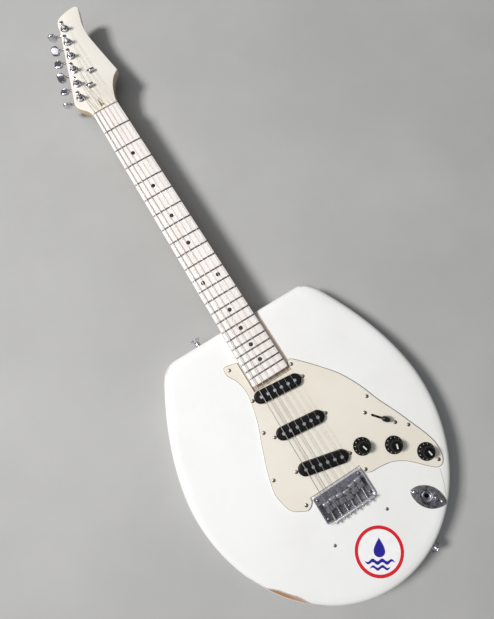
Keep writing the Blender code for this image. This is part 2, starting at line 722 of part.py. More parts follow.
def make_truss_rod():
    bottom = NECK_TOP - ROD_CHANNEL_DEPTH + SEAT
    near = BOARD_END_Y + ROD_START + SEAT
    far = NUT_Y + ROD_ACCESS - ROD_NUT_LENGTH - 0.004
    rod = solid("truss_rod", [prism(box(0, (near + far) / 2, ROD_WIDTH, far - near), bottom,
                                    bottom + ROD_HEIGHT)])
    nut = turned([(ROD_NUT_RADIUS, -0.001), (ROD_NUT_RADIUS, ROD_NUT_LENGTH)], sides=6)
    join(rod, "rod_nut", [moved(nut, facing(0, far, bottom + ROD_HEIGHT / 2))])


def guard_outline():
    """Pickguard outline: neck notch, treble sweep, tip, bridge notch, bass side and horn."""
    notch = neck_half(BOARD_END_Y) + NECK_CLEARANCE
    horn = BOARD_END_Y - NECK_STRIP
    front = BRIDGE_FRONT_Y + 2 * SEAT
    side = BRIDGE_WIDTH / 2 + 2 * SEAT
    points = [(-notch, horn), (notch, horn), (notch, horn + 0.0085), (0.0372, horn + 0.0131),
              (0.0528, 0.1010), (0.0691, 0.0828), (0.0861, 0.0614), (0.1011, 0.0331),
              (0.1120, 0.0040), (0.1236, -0.0211), (0.1351, -0.0494), (0.1431, -0.0702),
              (0.1472, -0.0884), (0.1450, -0.1060), (0.1390, -0.1145), (0.1300, -0.1152),
              (0.1203, -0.1075), (0.1081, -0.0951), (0.0952, -0.0840), (0.0800, -0.0765),
              (0.0640, -0.0736), (side + 0.0095, front - 0.0150), (side + 0.0025, front - 0.0110),
              (side, front - 0.0060), (side, front), (-side, front), (-side - 0.002, front - 0.0066),
              (-side - 0.011, front - 0.0121), (-0.0610, -0.0650), (-0.0723, -0.0563),
              (-0.0783, -0.0363), (-0.0780, -0.0213), (-0.0712, 0.0048), (-0.0621, 0.0301),
              (-0.0557, 0.0470), (-0.0492, 0.0640), (-0.0428, 0.0890), (-0.0405, horn + 0.0076),
              (-0.0445, horn + 0.0248), (-0.0515, horn + 0.0375), (-0.0520, horn + 0.0470),
              (-0.0475, horn + 0.0515), (-notch, horn + 0.0470)]
    return curve_through(points, (0, 1, 2, 23, 24, 25, 42), 2)


def make_pickguard():
    guard = solid("pickguard", [prism(guard_outline(), GUARD_BOTTOM, GUARD_TOP)], CREAM)
    openings = []
    screws = list(switch_screws())
    for (x, y), tilt in zip(PICKUP_CENTRES, PICKUP_TILTS):
        openings.append(slot(x, y, COVER_LENGTH + 4 * RUN, COVER_WIDTH + 4 * RUN, -tilt))
        screws += height_screws(x, y, tilt)
    openings += [disc(x, y, SCREW_SHANK + RUN, 8) for x, y in screws]
    openings += [disc(x, y, POT_BUSH + RUN) for x, y in KNOB_CENTRES]
    openings.append(slot(*SWITCH_CENTRE, switch_slot_length(), LEVER_THICKNESS + 4 * RUN,
                         SWITCH_HEADING, 3))
    cut(guard, "guard_openings", [prism(opening, GUARD_BOTTOM - 0.001, GUARD_TOP + 0.001)
                                  for opening in openings])
    join(guard, "guard_screws", [screw(x, y, GUARD_TOP - SINK, SCREW_END) for x, y in guard_screws()])


def make_pickup(name, x, y, tilt):
    inner = slot(x, y, COVER_LENGTH - 2 * COVER_WALL, COVER_WIDTH - 2 * COVER_WALL, -tilt)
    outer = slot(x, y, COVER_LENGTH, COVER_WIDTH, -tilt)
    crest = slot(x, y, COVER_LENGTH - 0.0014, COVER_WIDTH - 0.0014, -tilt)
    ceiling = COVER_TOP - COVER_WALL
    cover = solid("pickup_cover_" + name,
                  [[ring_at(inner, ceiling), ring_at(inner, COVER_BOTTOM), ring_at(outer, COVER_BOTTOM),
                    ring_at(outer, COVER_TOP - 0.0007), ring_at(crest, COVER_TOP)]], BLACK)
    poles = pole_places(x, y, tilt)
    cut(cover, "pole_holes_" + name, [prism(disc(px, py, POLE_RADIUS + RUN, 8), ceiling - 0.001,
                                            COVER_TOP + 0.001) for px, py in poles])
    plate_top = COVER_BOTTOM - SEAT
    plate_bottom = plate_top - FLATWORK
    gap = 2 * (COVER_WALL + BORE)
    coil = solid("pickup_coil_" + name,
                 [prism(slot(x, y, COVER_LENGTH - gap, COVER_WIDTH - gap, -tilt), plate_top - 0.0002,
                        ceiling - BORE)], COPPER)
    plate = slot(x, y, PICKUP_SCREW_SPACING + 0.0056, COVER_WIDTH - 0.002, -tilt)
    join(coil, "flatwork_" + name, [prism(plate, plate_bottom, plate_top)])
    pole_top = COVER_TOP + POLE_PROUD
    join(coil, "poles_" + name, [prism(disc(px, py, POLE_RADIUS, 8), plate_top + 0.002, pole_top)
                                 for px, py in poles])
    join(coil, "height_screws_" + name, [screw(sx, sy, GUARD_TOP + SEAT, plate_bottom + 0.0004)
                                         for sx, sy in height_screws(x, y, tilt)])


def make_bridge():
    y = (BRIDGE_FRONT_Y + BRIDGE_REAR_Y) / 2
    outer = rounded_box(0, y, BRIDGE_WIDTH, BRIDGE_DEPTH, 0.004)
    floor = rounded_box(0, y, BRIDGE_WIDTH - 2 * BRIDGE_RIM_WIDTH,
                        BRIDGE_DEPTH - 2 * BRIDGE_RIM_WIDTH, 0.0018)
    rim = TRAY_BOTTOM + BRIDGE_RIM_HEIGHT
    tray = solid("bridge_tray", [[ring_at(outer, TRAY_BOTTOM), ring_at(outer, rim - 0.0008),
                                  ring_at(inset(outer, 0.0008), rim), ring_at(inset(floor, -0.0004), rim),
                                  ring_at(floor, TRAY_FLOOR)]], CHROME)
    wall_y = BRIDGE_REAR_Y + WALL_SETBACK + REAR_WALL / 2
    wall = box(0, wall_y, BRIDGE_WIDTH - 0.009, REAR_WALL)
    join(tray, "rear_wall", [prism(wall, TRAY_BOTTOM + 0.001, STRING_HOLE_Z + 0.0021)])
    join(tray, "tray_screws", [screw(px, py, TRAY_FLOOR - SINK, SCREW_END, TRAY_SCREW_HEAD)
                               for px, py in tray_screws()])
    shanks = []
    for i in range(6):
        tip = crown_y(i) + SADDLE_NOSE - SADDLE_LENGTH + SADDLE_TRAVEL + SADDLE_PLATE + 0.0005
        profile = ((0.0015, -0.0021), (0.0020, 0.0009), (SCREW_SHANK, 0.0009),
                   (SCREW_SHANK, tip - BRIDGE_REAR_Y))
        shanks.append(moved(turned(profile, sides=8), facing(saddle_x(i), BRIDGE_REAR_Y, SCREW_Z)))
    join(tray, "intonation_screws", shanks)
    holes = [turned([(string_radius(i) + BORE, 0), (string_radius(i) + BORE, 0.004)], sides=6)
             for i in range(6)]
    cut(tray, "string_holes", [moved(hole, facing(saddle_x(i), BRIDGE_REAR_Y, STRING_HOLE_Z))
                               for i, hole in enumerate(holes)])


def make_saddle(i):
    """Bent plate on two legs; its origin is on the intonation screw under the crown."""
    top = crown_z(i) - string_radius(i) - RUN - SCREW_Z
    foot = TRAY_FLOOR + RUN - SCREW_Z
    rear = SADDLE_NOSE - SADDLE_LENGTH
    low = top + SADDLE_SLOPE * rear
    t = SADDLE_PLATE
    outline = [(SADDLE_NOSE, top - SADDLE_LIP), (SADDLE_NOSE, top - 0.0012),
               (SADDLE_NOSE - 0.0006, top - 0.0003), (0, top), (-0.001, top), (rear + 0.0008, low),
               (rear, low - 0.0008), (rear, foot), (rear + t, foot), (rear + t, low - t),
               (-0.0006, top - t - 0.0003), (SADDLE_NOSE - t, top - SADDLE_LIP)]
    half = SADDLE_WIDTH / 2
    saddle = solid("saddle_%d" % (i + 1), [[[Vector((x, y, z)) for y, z in outline]
                                            for x in (-half, half)]], CHROME)
    join(saddle, "saddle_legs_%d" % (i + 1),
         [prism(disc(side * SADDLE_LEG_SPACING / 2, -0.0045, SADDLE_LEG, 8), foot, top - 0.0012)
          for side in (-1, 1)])
    bore = turned([(SCREW_SHANK + RUN, -0.001), (SCREW_SHANK + RUN, t + 0.001)], sides=8)
    cut(saddle, "saddle_bore_%d" % (i + 1), [moved(bore, facing(0, rear, 0))])
    for thing in (saddle, *[modifier.object for modifier in saddle.modifiers]):
        thing.location = (saddle_x(i), crown_y(i), SCREW_Z)


def winding(i):
    """Centre line of the turns round a post, from the lowest to the top."""
    post = post_place(i)
    radius = POST_WAIST + string_radius(i) + 0.0005
    rise = STRING_GAUGES[i] + TURN_GAP
    start = HEAD_FACE + WRAP_START + string_radius(i)
    points = []
    for k in range(WRAP_TURNS * TURN_POINTS + 1):
        angle = math.tau * k / TURN_POINTS
        points.append(Vector((post.x + radius * math.cos(angle), post.y + radius * math.sin(angle),
                              start + rise * k / TURN_POINTS)))
    return points


def string_route(i):
    """Centre line from the ball end through wall, saddle, nut and tree to the winding."""
    r = string_radius(i)
    x = saddle_x(i)
    ball = BRIDGE_REAR_Y + WALL_SETBACK - RUN
    leave = NUT_Y + NUT_LENGTH + 0.0008
    nut_z = BOARD_TOP - sag(nut_x(i)) + ACTION_NUT + r
    route = [Vector((x, ball - BALL_LENGTH, STRING_HOLE_Z)), Vector((x, ball - 0.0002, STRING_HOLE_Z)),
             Vector((x, ball, STRING_HOLE_Z)), Vector((x, ball + 0.0035, STRING_HOLE_Z)),
             Vector((x, crown_y(i) - STRING_LEVEL, crown_z(i))), Vector((x, crown_y(i), crown_z(i))),
             Vector((nut_x(i), NUT_Y - 0.0008, nut_z)), Vector((nut_x(i), leave, nut_z))]
    turns = winding(i)
    for tree_x, tree_y in TREES:
        share = (NUT_Y + tree_y - leave) / (turns[0].y - leave)
        through = nut_x(i) + (turns[0].x - nut_x(i)) * share
        if abs(through - tree_x) < TREE_SIZE[0] / 2:
            for step in (-0.003, 0.003):
                route.append(Vector((through, NUT_Y + tree_y + step, HEAD_FACE + TREE_BAR - RUN - r)))
    return route + turns


def make_string(i):
    """One tube from ball end to winding; the ball is the same tube at a larger radius."""
    name = "string_%d" % (i + 1)
    curve = bpy.data.curves.new(name, "CURVE")
    curve.dimensions = "3D"
    curve.bevel_depth = string_radius(i)
    curve.bevel_resolution = 1
    curve.use_fill_caps = True
    points = string_route(i)
    spline = curve.splines.new("POLY")
    spline.points.add(len(points) - 1)
    for k, point in enumerate(points):
        spline.points[k].co = (*point, 1)
        spline.points[k].radius = BALL_RADIUS / string_radius(i) if k < 2 else 1
    curve.materials.append(STEEL)
    bpy.context.collection.objects.link(bpy.data.objects.new(name, curve))
    turns = winding(i)
    gaps = [(a - b).length - STRING_GAUGES[i]
            for k, a in enumerate(turns) for b in turns[k + TURN_POINTS // 2:]]
    print(name, "least gap between its turns %.2f mm" % (min(gaps) * 1000))


def make_housing(number, post, worm_frame):
    top = HEAD_BACK - SEAT
    bottom = top - HOUSING_DEPTH
    body = rounded_box(0, 0, HOUSING_LENGTH, HOUSING_WIDTH, 0.002, 1)
    middle = post + ALONG_POSTS * (WORM_OFFSET / 2) + KEYWARD * HOUSING_SHIFT
    frame = Matrix.Translation(middle) @ Matrix.Rotation(math.pi - POST_LEAN, 4, "Z")
    housing = solid("tuner_housing_%d" % number,
                    [moved([ring_at(inset(body, 0.001), bottom), ring_at(body, bottom + 0.001),
                            ring_at(body, top)], frame)], CHROME)
    seat = HEAD_FACE + SEAT
    join(housing, "sleeve_%d" % number,
         [turned([(SLEEVE_RADIUS, top - 0.001), (SLEEVE_RADIUS, seat), (TUNER_NUT_RADIUS, seat),
                  (TUNER_NUT_RADIUS, seat + 0.001), (0.0050, seat + TUNER_NUT_HEIGHT)],
                 post.x, post.y, 10)])
    bore = POST_RADIUS + RUN
    cut(housing, "post_bore_%d" % number,
        [turned([(WHEEL_RADIUS + RUN, wheel_bottom() - 2 * RUN), (WHEEL_RADIUS + RUN, wheel_top() + RUN),
                 (bore, wheel_top() + RUN), (bore, seat + TUNER_NUT_HEIGHT + 0.001)],
                post.x, post.y, 12)])
    tunnel = turned([(WORM_RADIUS + RUN, -WORM_LENGTH - RUN), (WORM_RADIUS + RUN, COLLAR_PLACE)],
                    sides=10)
    cut(housing, "worm_bore_%d" % number, [moved(tunnel, worm_frame)])


def wheel_bottom():
    return HEAD_BACK - SEAT - HOUSING_DEPTH + 0.0024


def wheel_top():
    return HEAD_BACK - SEAT - 0.0016


def make_post(number, post):
    """Post with its worm wheel; its origin is on its axis."""
    top = HEAD_FACE + POST_ABOVE_HEAD
    waist = HEAD_FACE + WRAP_START - 0.0008
    profile = ((WHEEL_RADIUS - 0.0004, wheel_bottom() - RUN), (WHEEL_RADIUS, wheel_bottom() + RUN),
               (WHEEL_RADIUS, wheel_top()), (POST_RADIUS, wheel_top()), (POST_RADIUS, waist),
               (POST_WAIST, waist + 0.0008), (POST_WAIST, top - 0.0040),
               (POST_RADIUS, top - 0.0030), (POST_RADIUS, top - 0.0004), (POST_RADIUS - 0.0005, top))
    shaft = solid("tuner_post_%d" % number, [turned(profile, sides=8)], CHROME)
    slit = solid("post_slit_%d" % number, [prism(box(0, 0, POST_SLIT, 0.010), top - 0.0022,
                                                 top + 0.001)])
    combine(shaft, slit, "DIFFERENCE")
    for thing in (shaft, slit):
        thing.location = (post.x, post.y, 0)


def make_key(number, worm_frame):
    """Worm, shaft and key in one piece; it turns about its local Z."""
    start = KEY_REACH - KEY_LENGTH / 2
    end = KEY_REACH + KEY_LENGTH / 2
    profile = ((WORM_RADIUS, -WORM_LENGTH), (WORM_RADIUS, COLLAR_PLACE), (0.0032, COLLAR_PLACE),
               (0.0032, COLLAR_PLACE + 0.0014), (0.0020, COLLAR_PLACE + 0.0016),
               (0.0020, start + 0.002))
    key = solid("tuner_key_%d" % number, [turned(profile, sides=8)], CHROME)
    wing = []
    for share, width, thickness in ((0.0, 0.32, 0.7), (0.1, 0.72, 1.0), (0.45, 1.0, 1.0),
                                    (0.85, 0.86, 0.9), (1.0, 0.62, 0.6)):
        outline = slot(0, 0, KEY_WIDTH * width, KEY_THICKNESS * thickness,
                       math.radians(KEY_TURNS[number - 1]), 3)
        wing.append(ring_at(outline, start + (end - start) * share))
    wings = solid("key_wing_%d" % number, [wing])
    combine(key, wings, "UNION")
    for thing in (key, wings):
        thing.matrix_world = worm_frame


def make_tuner(i):
    post = post_place(i)
    worm = post + ALONG_POSTS * WORM_OFFSET + Vector((0, 0, HEAD_BACK - SEAT - HOUSING_DEPTH / 2))
    worm_frame = Matrix.Translation(worm) @ KEYWARD.to_track_quat("Z", "Y").to_matrix().to_4x4()
    make_housing(i + 1, post, worm_frame)
    make_post(i + 1, post)
    make_key(i + 1, worm_frame)


def make_control(name, x, y):
    """Pot with its bushing and nut, and the knob with the shaft that turns in it."""
    top = GUARD_BOTTOM - SEAT
    bush_top = GUARD_TOP + POT_BUSH_HEIGHT
    bore = SHAFT_RADIUS + RUN
    shaft_end = top - POT_HEIGHT + 0.003
    nut_radius, nut_height = POT_NUT
    profile = ((POT_RADIUS, top - POT_HEIGHT), (POT_RADIUS, top), (POT_BUSH, top),
               (POT_BUSH, GUARD_TOP + SEAT), (nut_radius, GUARD_TOP + SEAT),
               (nut_radius, GUARD_TOP + nut_height), (POT_BUSH, GUARD_TOP + nut_height),
               (POT_BUSH, bush_top), (bore, bush_top), (bore, shaft_end - RUN))
    solid("pot_" + name, [turned(profile, x, y, 10)])
    skirt = GUARD_TOP + KNOB_GAP
    ceiling = bush_top + KNOB_GAP
    crown = GUARD_TOP + KNOB_HEIGHT
    profile = ((SHAFT_RADIUS, shaft_end), (SHAFT_RADIUS, ceiling), (0.0066, ceiling),
               (0.0085, GUARD_TOP + 0.0034), (KNOB_RADIUS - 0.0016, skirt), (KNOB_RADIUS, skirt),
               (KNOB_RADIUS, skirt + 0.0014), (KNOB_RADIUS - 0.0040, skirt + 0.0046),
               (KNOB_RADIUS - 0.0048, crown - 0.0006), (KNOB_RADIUS - 0.0055, crown))
    knob = solid("knob_" + name, [turned(profile, sides=14)], BLACK)
    knob.location = (x, y, 0)


def switch_slot_length():
    """Slot that clears the lever at both ends of its swing."""
    reach = (SWITCH_PIVOT_DEPTH + GUARD_THICKNESS) * math.tan(SWITCH_SWING)
    return 2 * (reach + LEVER_WIDTH / 2 / math.cos(SWITCH_SWING) + 0.0012)


def make_switch():
    """Frame under the pickguard; the lever swings between its cheeks."""
    top = GUARD_BOTTOM - SEAT
    pivot_z = GUARD_BOTTOM - SWITCH_PIVOT_DEPTH
    turn = Matrix.Translation((*SWITCH_CENTRE, 0)) @ Matrix.Rotation(SWITCH_HEADING, 4, "Z")
    gap = LEVER_THICKNESS + 4 * RUN
    length, cheek = SWITCH_FRAME
    plate = prism(box(0, 0, SWITCH_SCREW_SPACING + 0.006, SWITCH_PLATE_WIDTH), top - SWITCH_PLATE, top)
    switch = solid("selector_switch", [moved(plate, turn)])
    low = pivot_z - LEVER_DISC - 0.0015
    join(switch, "switch_cheeks", [moved(prism(box(0, side * (gap + cheek) / 2, length, cheek),
                                               low, top - SINK), turn) for side in (-1, 1)])
    base = prism(box(0, 0, length, gap + 2 * cheek), low - cheek, low + SINK)
    join(switch, "switch_base", [moved(base, turn)])
    opening = slot(0, 0, switch_slot_length(), gap - SEAT, 0, 3)
    cut(switch, "switch_slot", [moved(prism(opening, top - SWITCH_PLATE - 0.001, top + 0.001), turn)])
    reach = gap / 2 + cheek
    across = turn @ Matrix.Translation((0, 0, pivot_z)) @ Matrix.Rotation(-math.pi / 2, 4, "X")
    bore = turned([(LEVER_PIN + RUN, -reach - 0.001), (LEVER_PIN + RUN, reach + 0.001)], sides=10)
    cut(switch, "pivot_bore", [moved(bore, across)])
    join(switch, "switch_screws", [screw(x, y, GUARD_TOP + SEAT, top - SWITCH_PLATE - 0.002)
                                   for x, y in switch_screws()])
    make_lever(turn @ Matrix.Translation((0, 0, pivot_z)) @ Matrix.Rotation(SWITCH_REST, 4, "Y"), reach)


def make_lever(frame, pin_reach):
    """Lever with its disc and pin, and the tip on its blade; they turn about local Y."""
    half = LEVER_THICKNESS / 2
    tip_low = SWITCH_PIVOT_DEPTH + GUARD_THICKNESS + TIP_RISE
    blade_top = tip_low + TIP_HEIGHT * 0.6
    flat = Matrix.Rotation(-math.pi / 2, 4, "X")
    lever = solid("switch_lever", [moved(turned([(LEVER_DISC, -half), (LEVER_DISC, half)], sides=16),
                                         flat)])
    blade = solid("lever_blade", [prism(box(0, 0, LEVER_WIDTH, LEVER_THICKNESS - 0.0002), 0.002,
                                        blade_top)])
    pin = solid("lever_pin", [moved(turned([(LEVER_PIN, -pin_reach), (LEVER_PIN, pin_reach)],
                                           sides=10), flat)])
    tip = solid("switch_tip", [[ring_at(slot(0, 0, TIP_LENGTH * size, TIP_WIDTH * size, 0, 4),
                                        tip_low + TIP_HEIGHT * share)
                                for share, size in ((0.0, 0.62), (0.12, 0.8), (0.45, 1.0),
                                                    (0.8, 0.92), (1.0, 0.66))]], BLACK)
    socket = solid("tip_socket", [prism(box(0, 0, LEVER_WIDTH + 2 * RUN, LEVER_THICKNESS + 2 * RUN),
                                        tip_low - 0.001, blade_top + RUN)])
    combine(lever, blade, "UNION")
    combine(lever, pin, "UNION")
    combine(tip, socket, "DIFFERENCE")
    for thing in (lever, blade, pin, tip, socket):
        thing.matrix_world = frame


def eye_outline(length, width):
    """Two equal arcs that meet at the ends, centred on the jack."""
    radius = (length**2 + width**2) / (4 * width)
    half_angle = math.asin(length / 2 / radius)
    turn = Matrix.Rotation(JACK_HEADING, 2)
    points = []
    for side in (-1, 1):
        for i in range(8):
            angle = half_angle * (i / 4 - 1)
            point = Vector((radius * math.sin(angle), width / 2 - radius * (1 - math.cos(angle))))
            points.append(tuple(Vector(JACK_CENTRE) - side * (turn @ point)))
    return points


def make_jack():
    bottom = LID_TOP + SEAT
    top = bottom + JACK_PLATE
    plate = solid("jack_plate",
                  [[ring_at(eye_outline(JACK_PLATE_LENGTH, JACK_PLATE_WIDTH), bottom),
                    ring_at(eye_outline(JACK_PLATE_LENGTH, JACK_PLATE_WIDTH), top - 0.0008),
                    ring_at(eye_outline(JACK_PLATE_LENGTH - 0.0022, JACK_PLATE_WIDTH - 0.0022), top)]],
                  CHROME)
    x, y = JACK_CENTRE
    wide = JACK_CUP_RADIUS + JACK_CUP_WALL
    floor = top - JACK_CUP_DEPTH
    low = floor - JACK_CUP_WALL
    join(plate, "cup_outside", [turned([(wide - 0.003, low), (wide, floor + 0.0016),
                                        (wide, bottom + 0.001)], x, y, 16)])
    cut(plate, "cup_inside", [turned([(JACK_CUP_RADIUS - 0.003, floor), (JACK_CUP_RADIUS, floor + 0.003),
                                      (JACK_CUP_RADIUS, top + 0.001)], x, y, 16)])
    cut(plate, "jack_hole", [prism(disc(x, y, JACK_SLEEVE + RUN), low - 0.001, floor + 0.001)])
    join(plate, "plate_screws", [screw(px, py, top - SINK, SCREW_END) for px, py in jack_screws()])
    body = JACK_SLEEVE + 0.0035
    collar = JACK_SLEEVE + 0.0018
    profile = ((PLUG_RADIUS, low - JACK_BODY_LENGTH), (body, low - JACK_BODY_LENGTH), (body, low - SEAT),
               (JACK_SLEEVE, low - SEAT), (JACK_SLEEVE, floor + SEAT), (collar, floor + SEAT),
               (collar, floor + 0.0022), (JACK_SLEEVE - 0.0003, floor + 0.0028),
               (PLUG_RADIUS, floor + 0.0028))
    solid("jack_socket", [turned(profile, x, y)], CHROME, closed=True)


def make_strap_buttons():
    profile = ((BUTTON_SCREW, -BUTTON_SCREW_LENGTH), (BUTTON_SCREW, SEAT), (0.0056, SEAT),
               (0.0056, 0.0012), (0.0040, 0.0030), (0.0040, BUTTON_LENGTH - 0.0040),
               (BUTTON_RADIUS, BUTTON_LENGTH - 0.0018), (BUTTON_RADIUS, BUTTON_LENGTH - 0.0006),
               (BUTTON_RADIUS - 0.0016, BUTTON_LENGTH))
    for name, place in zip(("upper", "lower"), button_places()):
        solid("strap_button_" + name, [moved(turned(profile, sides=10), place)], CHROME)


def make_string_trees():
    width, depth, thickness = TREE_SIZE
    bar = HEAD_FACE + TREE_BAR
    for number, (x, y) in enumerate(TREES, 1):
        tree = solid("string_tree_%d" % number,
                     [turned([(TREE_POST, HEAD_FACE - TREE_BITE), (TREE_POST, bar + thickness + 0.0002),
                              (0.0010, bar + thickness + 0.0008)], x, NUT_Y + y, 8)], CHROME)
        join(tree, "tree_bar_%d" % number,
             [prism(rounded_box(x, NUT_Y + y, width, depth, 0.0014, 2), bar, bar + thickness)])


def make_neck_plate():
    width, depth, thickness = NECK_PLATE
    plate = solid("neck_plate", [prism(rounded_box(0, neck_plate_y(), width, depth, 0.0045),
                                       SEAT, SEAT + thickness)], CHROME)
    join(plate, "neck_bolts", [prism(disc(x, y, NECK_BOLT_RADIUS, 8), SEAT + thickness / 2,
                                     HEEL_BOTTOM + NECK_BOLT_BITE) for x, y in neck_bolts()])


for old in list(bpy.data.objects):
    bpy.data.objects.remove(old)
make_lid()
make_core()
make_neck()
make_fingerboard()
make_nut()
make_truss_rod()
make_pickguard()
for pickup, (centre_x, centre_y), pickup_tilt in zip(PICKUP_NAMES, PICKUP_CENTRES, PICKUP_TILTS):
    make_pickup(pickup, centre_x, centre_y, pickup_tilt)
make_bridge()
for string in range(6):
    make_saddle(string)
    make_string(string)
    make_tuner(string)
for control, (centre_x, centre_y) in zip(KNOB_NAMES, KNOB_CENTRES):
    make_control(control, centre_x, centre_y)
make_switch()
make_jack()
make_strap_buttons()
make_string_trees()
make_neck_plate()
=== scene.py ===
# Toilet seat guitar: the finished look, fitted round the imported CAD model. Metres, face up.
from math import asin, atan, atan2, copysign, cos, pi, radians, sin, sqrt, tau

import bpy
from mathutils import Matrix, Vector


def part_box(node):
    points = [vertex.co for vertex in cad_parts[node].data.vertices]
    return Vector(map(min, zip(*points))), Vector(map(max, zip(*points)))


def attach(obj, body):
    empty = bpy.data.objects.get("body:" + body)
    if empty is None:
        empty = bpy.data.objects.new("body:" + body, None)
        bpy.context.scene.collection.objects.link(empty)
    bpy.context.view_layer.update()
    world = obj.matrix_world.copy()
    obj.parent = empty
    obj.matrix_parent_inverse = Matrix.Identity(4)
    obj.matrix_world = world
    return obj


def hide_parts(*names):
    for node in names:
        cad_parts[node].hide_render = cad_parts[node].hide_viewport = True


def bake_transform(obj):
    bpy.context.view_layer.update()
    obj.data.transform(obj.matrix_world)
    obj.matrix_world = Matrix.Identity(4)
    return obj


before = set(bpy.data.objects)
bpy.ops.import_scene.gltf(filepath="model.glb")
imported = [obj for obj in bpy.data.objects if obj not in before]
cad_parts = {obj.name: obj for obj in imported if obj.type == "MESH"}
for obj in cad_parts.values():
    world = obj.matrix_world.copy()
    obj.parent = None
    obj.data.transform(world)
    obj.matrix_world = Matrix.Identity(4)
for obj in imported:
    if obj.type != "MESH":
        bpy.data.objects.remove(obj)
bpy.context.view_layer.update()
print("frame loaded, CAD nodes:", len(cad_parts))


# Small tools
def deselectAll():
    for obj in bpy.context.selected_objects:
        obj.select_set(False)


def choose(obj):
    deselectAll()
    obj.select_set(True)
    bpy.context.view_layer.objects.active = obj


def linkPiece(obj):
    bpy.context.scene.collection.objects.link(obj)


def scrap(obj):
    bpy.data.objects.remove(obj)


def openMesh(obj, mode="VERT"):
    choose(obj)
    bpy.ops.object.mode_set(mode="EDIT")
    bpy.ops.mesh.select_mode(type=mode)


def openWhole(obj, mode="VERT"):
    openMesh(obj, mode)
    bpy.ops.mesh.select_all(action="SELECT")


def closeMesh():
    bpy.ops.object.mode_set(mode="OBJECT")


def selectFaces(obj, wanted):  # from object mode: selects the faces that the test accepts
    for part in (*obj.data.vertices, *obj.data.edges):
        part.select = False
    for face in obj.data.polygons:
        face.select = wanted(face)


def turnOutwards(obj):
    openWhole(obj)
    bpy.ops.mesh.remove_doubles(threshold=1e-6)
    bpy.ops.mesh.normals_make_consistent(inside=False)
    closeMesh()


def rawPiece(name, points, edges, faces):
    data = bpy.data.meshes.new(name)
    data.from_pydata(points, edges, faces)
    obj = bpy.data.objects.new(name, data)
    linkPiece(obj)
    return obj


def loftPiece(name, rings):  # equal rings of points, skinned in order and closed at both ends
    count = len(rings[0])
    points = [tuple(point) for ring in rings for point in ring]
    faces = []
    for row in range(len(rings) - 1):
        lower, upper = row * count, (row + 1) * count
        faces += [(lower + i, lower + (i + 1) % count, upper + (i + 1) % count, upper + i)
                  for i in range(count)]
    faces += [tuple(range(count))[::-1], tuple(range(len(points) - count, len(points)))]
    obj = rawPiece(name, points, [], faces)
    turnOutwards(obj)
    return obj


def turnPiece(name, profile, steps=40):  # (radius, height) from the axis, out and back to it
    points = [(radius, 0, height) for radius, height in profile]
    obj = rawPiece(name, points, [(i, i + 1) for i in range(len(points) - 1)], [])
    openWhole(obj)
    bpy.ops.mesh.spin(steps=steps, angle=tau, center=(0, 0, 0), axis=(0, 0, 1))
    closeMesh()
    turnOutwards(obj)
    return obj


def rodPiece(name, radius, low, high, steps):
    return turnPiece(name, [(0, low), (radius, low), (radius, high), (0, high)], steps)


def slabPiece(name, outline, bottom, top, edge=0.0, segments=3):  # a flat piece with a worked top edge
    obj = rawPiece(name, [(x, y, bottom) for x, y in outline], [], [tuple(range(len(outline)))])
    openWhole(obj, "FACE")
    bpy.ops.mesh.extrude_region_move(TRANSFORM_OT_translate={"value": (0, 0, top - bottom)})
    if edge:
        bpy.ops.mesh.bevel(offset=edge, segments=segments, affect="EDGES")
    closeMesh()
    turnOutwards(obj)
    return obj


def wirePiece(name, points, radius, sides):  # a round wire along the points
    curve = bpy.data.curves.new(name, "CURVE")
    curve.dimensions = "3D"
    curve.bevel_depth = radius
    curve.bevel_resolution = sides
    curve.use_fill_caps = True
    spline = curve.splines.new("POLY")
    spline.points.add(len(points) - 1)
    for i, point in enumerate(points):
        spline.points[i].co = (*point, 1)
        spline.points[i].radius = 1
    obj = bpy.data.objects.new(name, curve)
    linkPiece(obj)
    choose(obj)
    bpy.ops.object.convert(target="MESH")
    turnOutwards(obj)
    return obj


def placePiece(obj, place):  # puts the place into the mesh
    choose(obj)
    obj.matrix_world = place
    bpy.ops.object.transform_apply(location=True, rotation=True, scale=True)
    return obj


def copyPiece(obj, name, place):
    twin = obj.copy()
    twin.data = obj.data.copy()
    twin.name = twin.data.name = name
    linkPiece(twin)
    return placePiece(twin, place)


def joinPieces(name, pieces):
    choose(pieces[0])
    for other in pieces[1:]:
        other.select_set(True)
    if len(pieces) > 1:
        bpy.ops.object.join()
    pieces[0].name = pieces[0].data.name = name
    return pieces[0]


def applyModifier(obj, kind, **settings):
    modifier = obj.modifiers.new(kind, kind)
    for key, value in settings.items():
        setattr(modifier, key, value)
    choose(obj)
    bpy.ops.object.modifier_apply(modifier=modifier.name)


def carve(obj, cutters, operation="DIFFERENCE"):  # cutters are used up
    tool = joinPieces("cutter", cutters)
    applyModifier(obj, "BOOLEAN", operation=operation, solver="EXACT", object=tool)
    scrap(tool)
    return obj


def softenEdges(obj, width, segments=2, angle=40):
    applyModifier(obj, "BEVEL", width=width, segments=segments, limit_method="ANGLE",
                  angle_limit=radians(angle), harden_normals=False)
    return obj


def finishPiece(obj, material, body="guitar", stands=(), angle=35):
    obj.data.materials.clear()
    obj.data.materials.append(material)
    choose(obj)
    bpy.ops.object.shade_smooth_by_angle(angle=radians(angle))
    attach(obj, body)
    if stands:
        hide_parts(*stands)
    return obj


def at(x, y, z=0.0):
    return Matrix.Translation((x, y, z))


def spun(angle, axis="Z"):
    return Matrix.Rotation(angle, 4, axis)


def alongY(x, y, z):  # the frame whose Z runs to the headstock
    return at(x, y, z) @ spun(-pi / 2, "X")


def discOutline(x, y, radius, steps=32):
    return [(x + radius * cos(tau * i / steps), y + radius * sin(tau * i / steps)) for i in range(steps)]


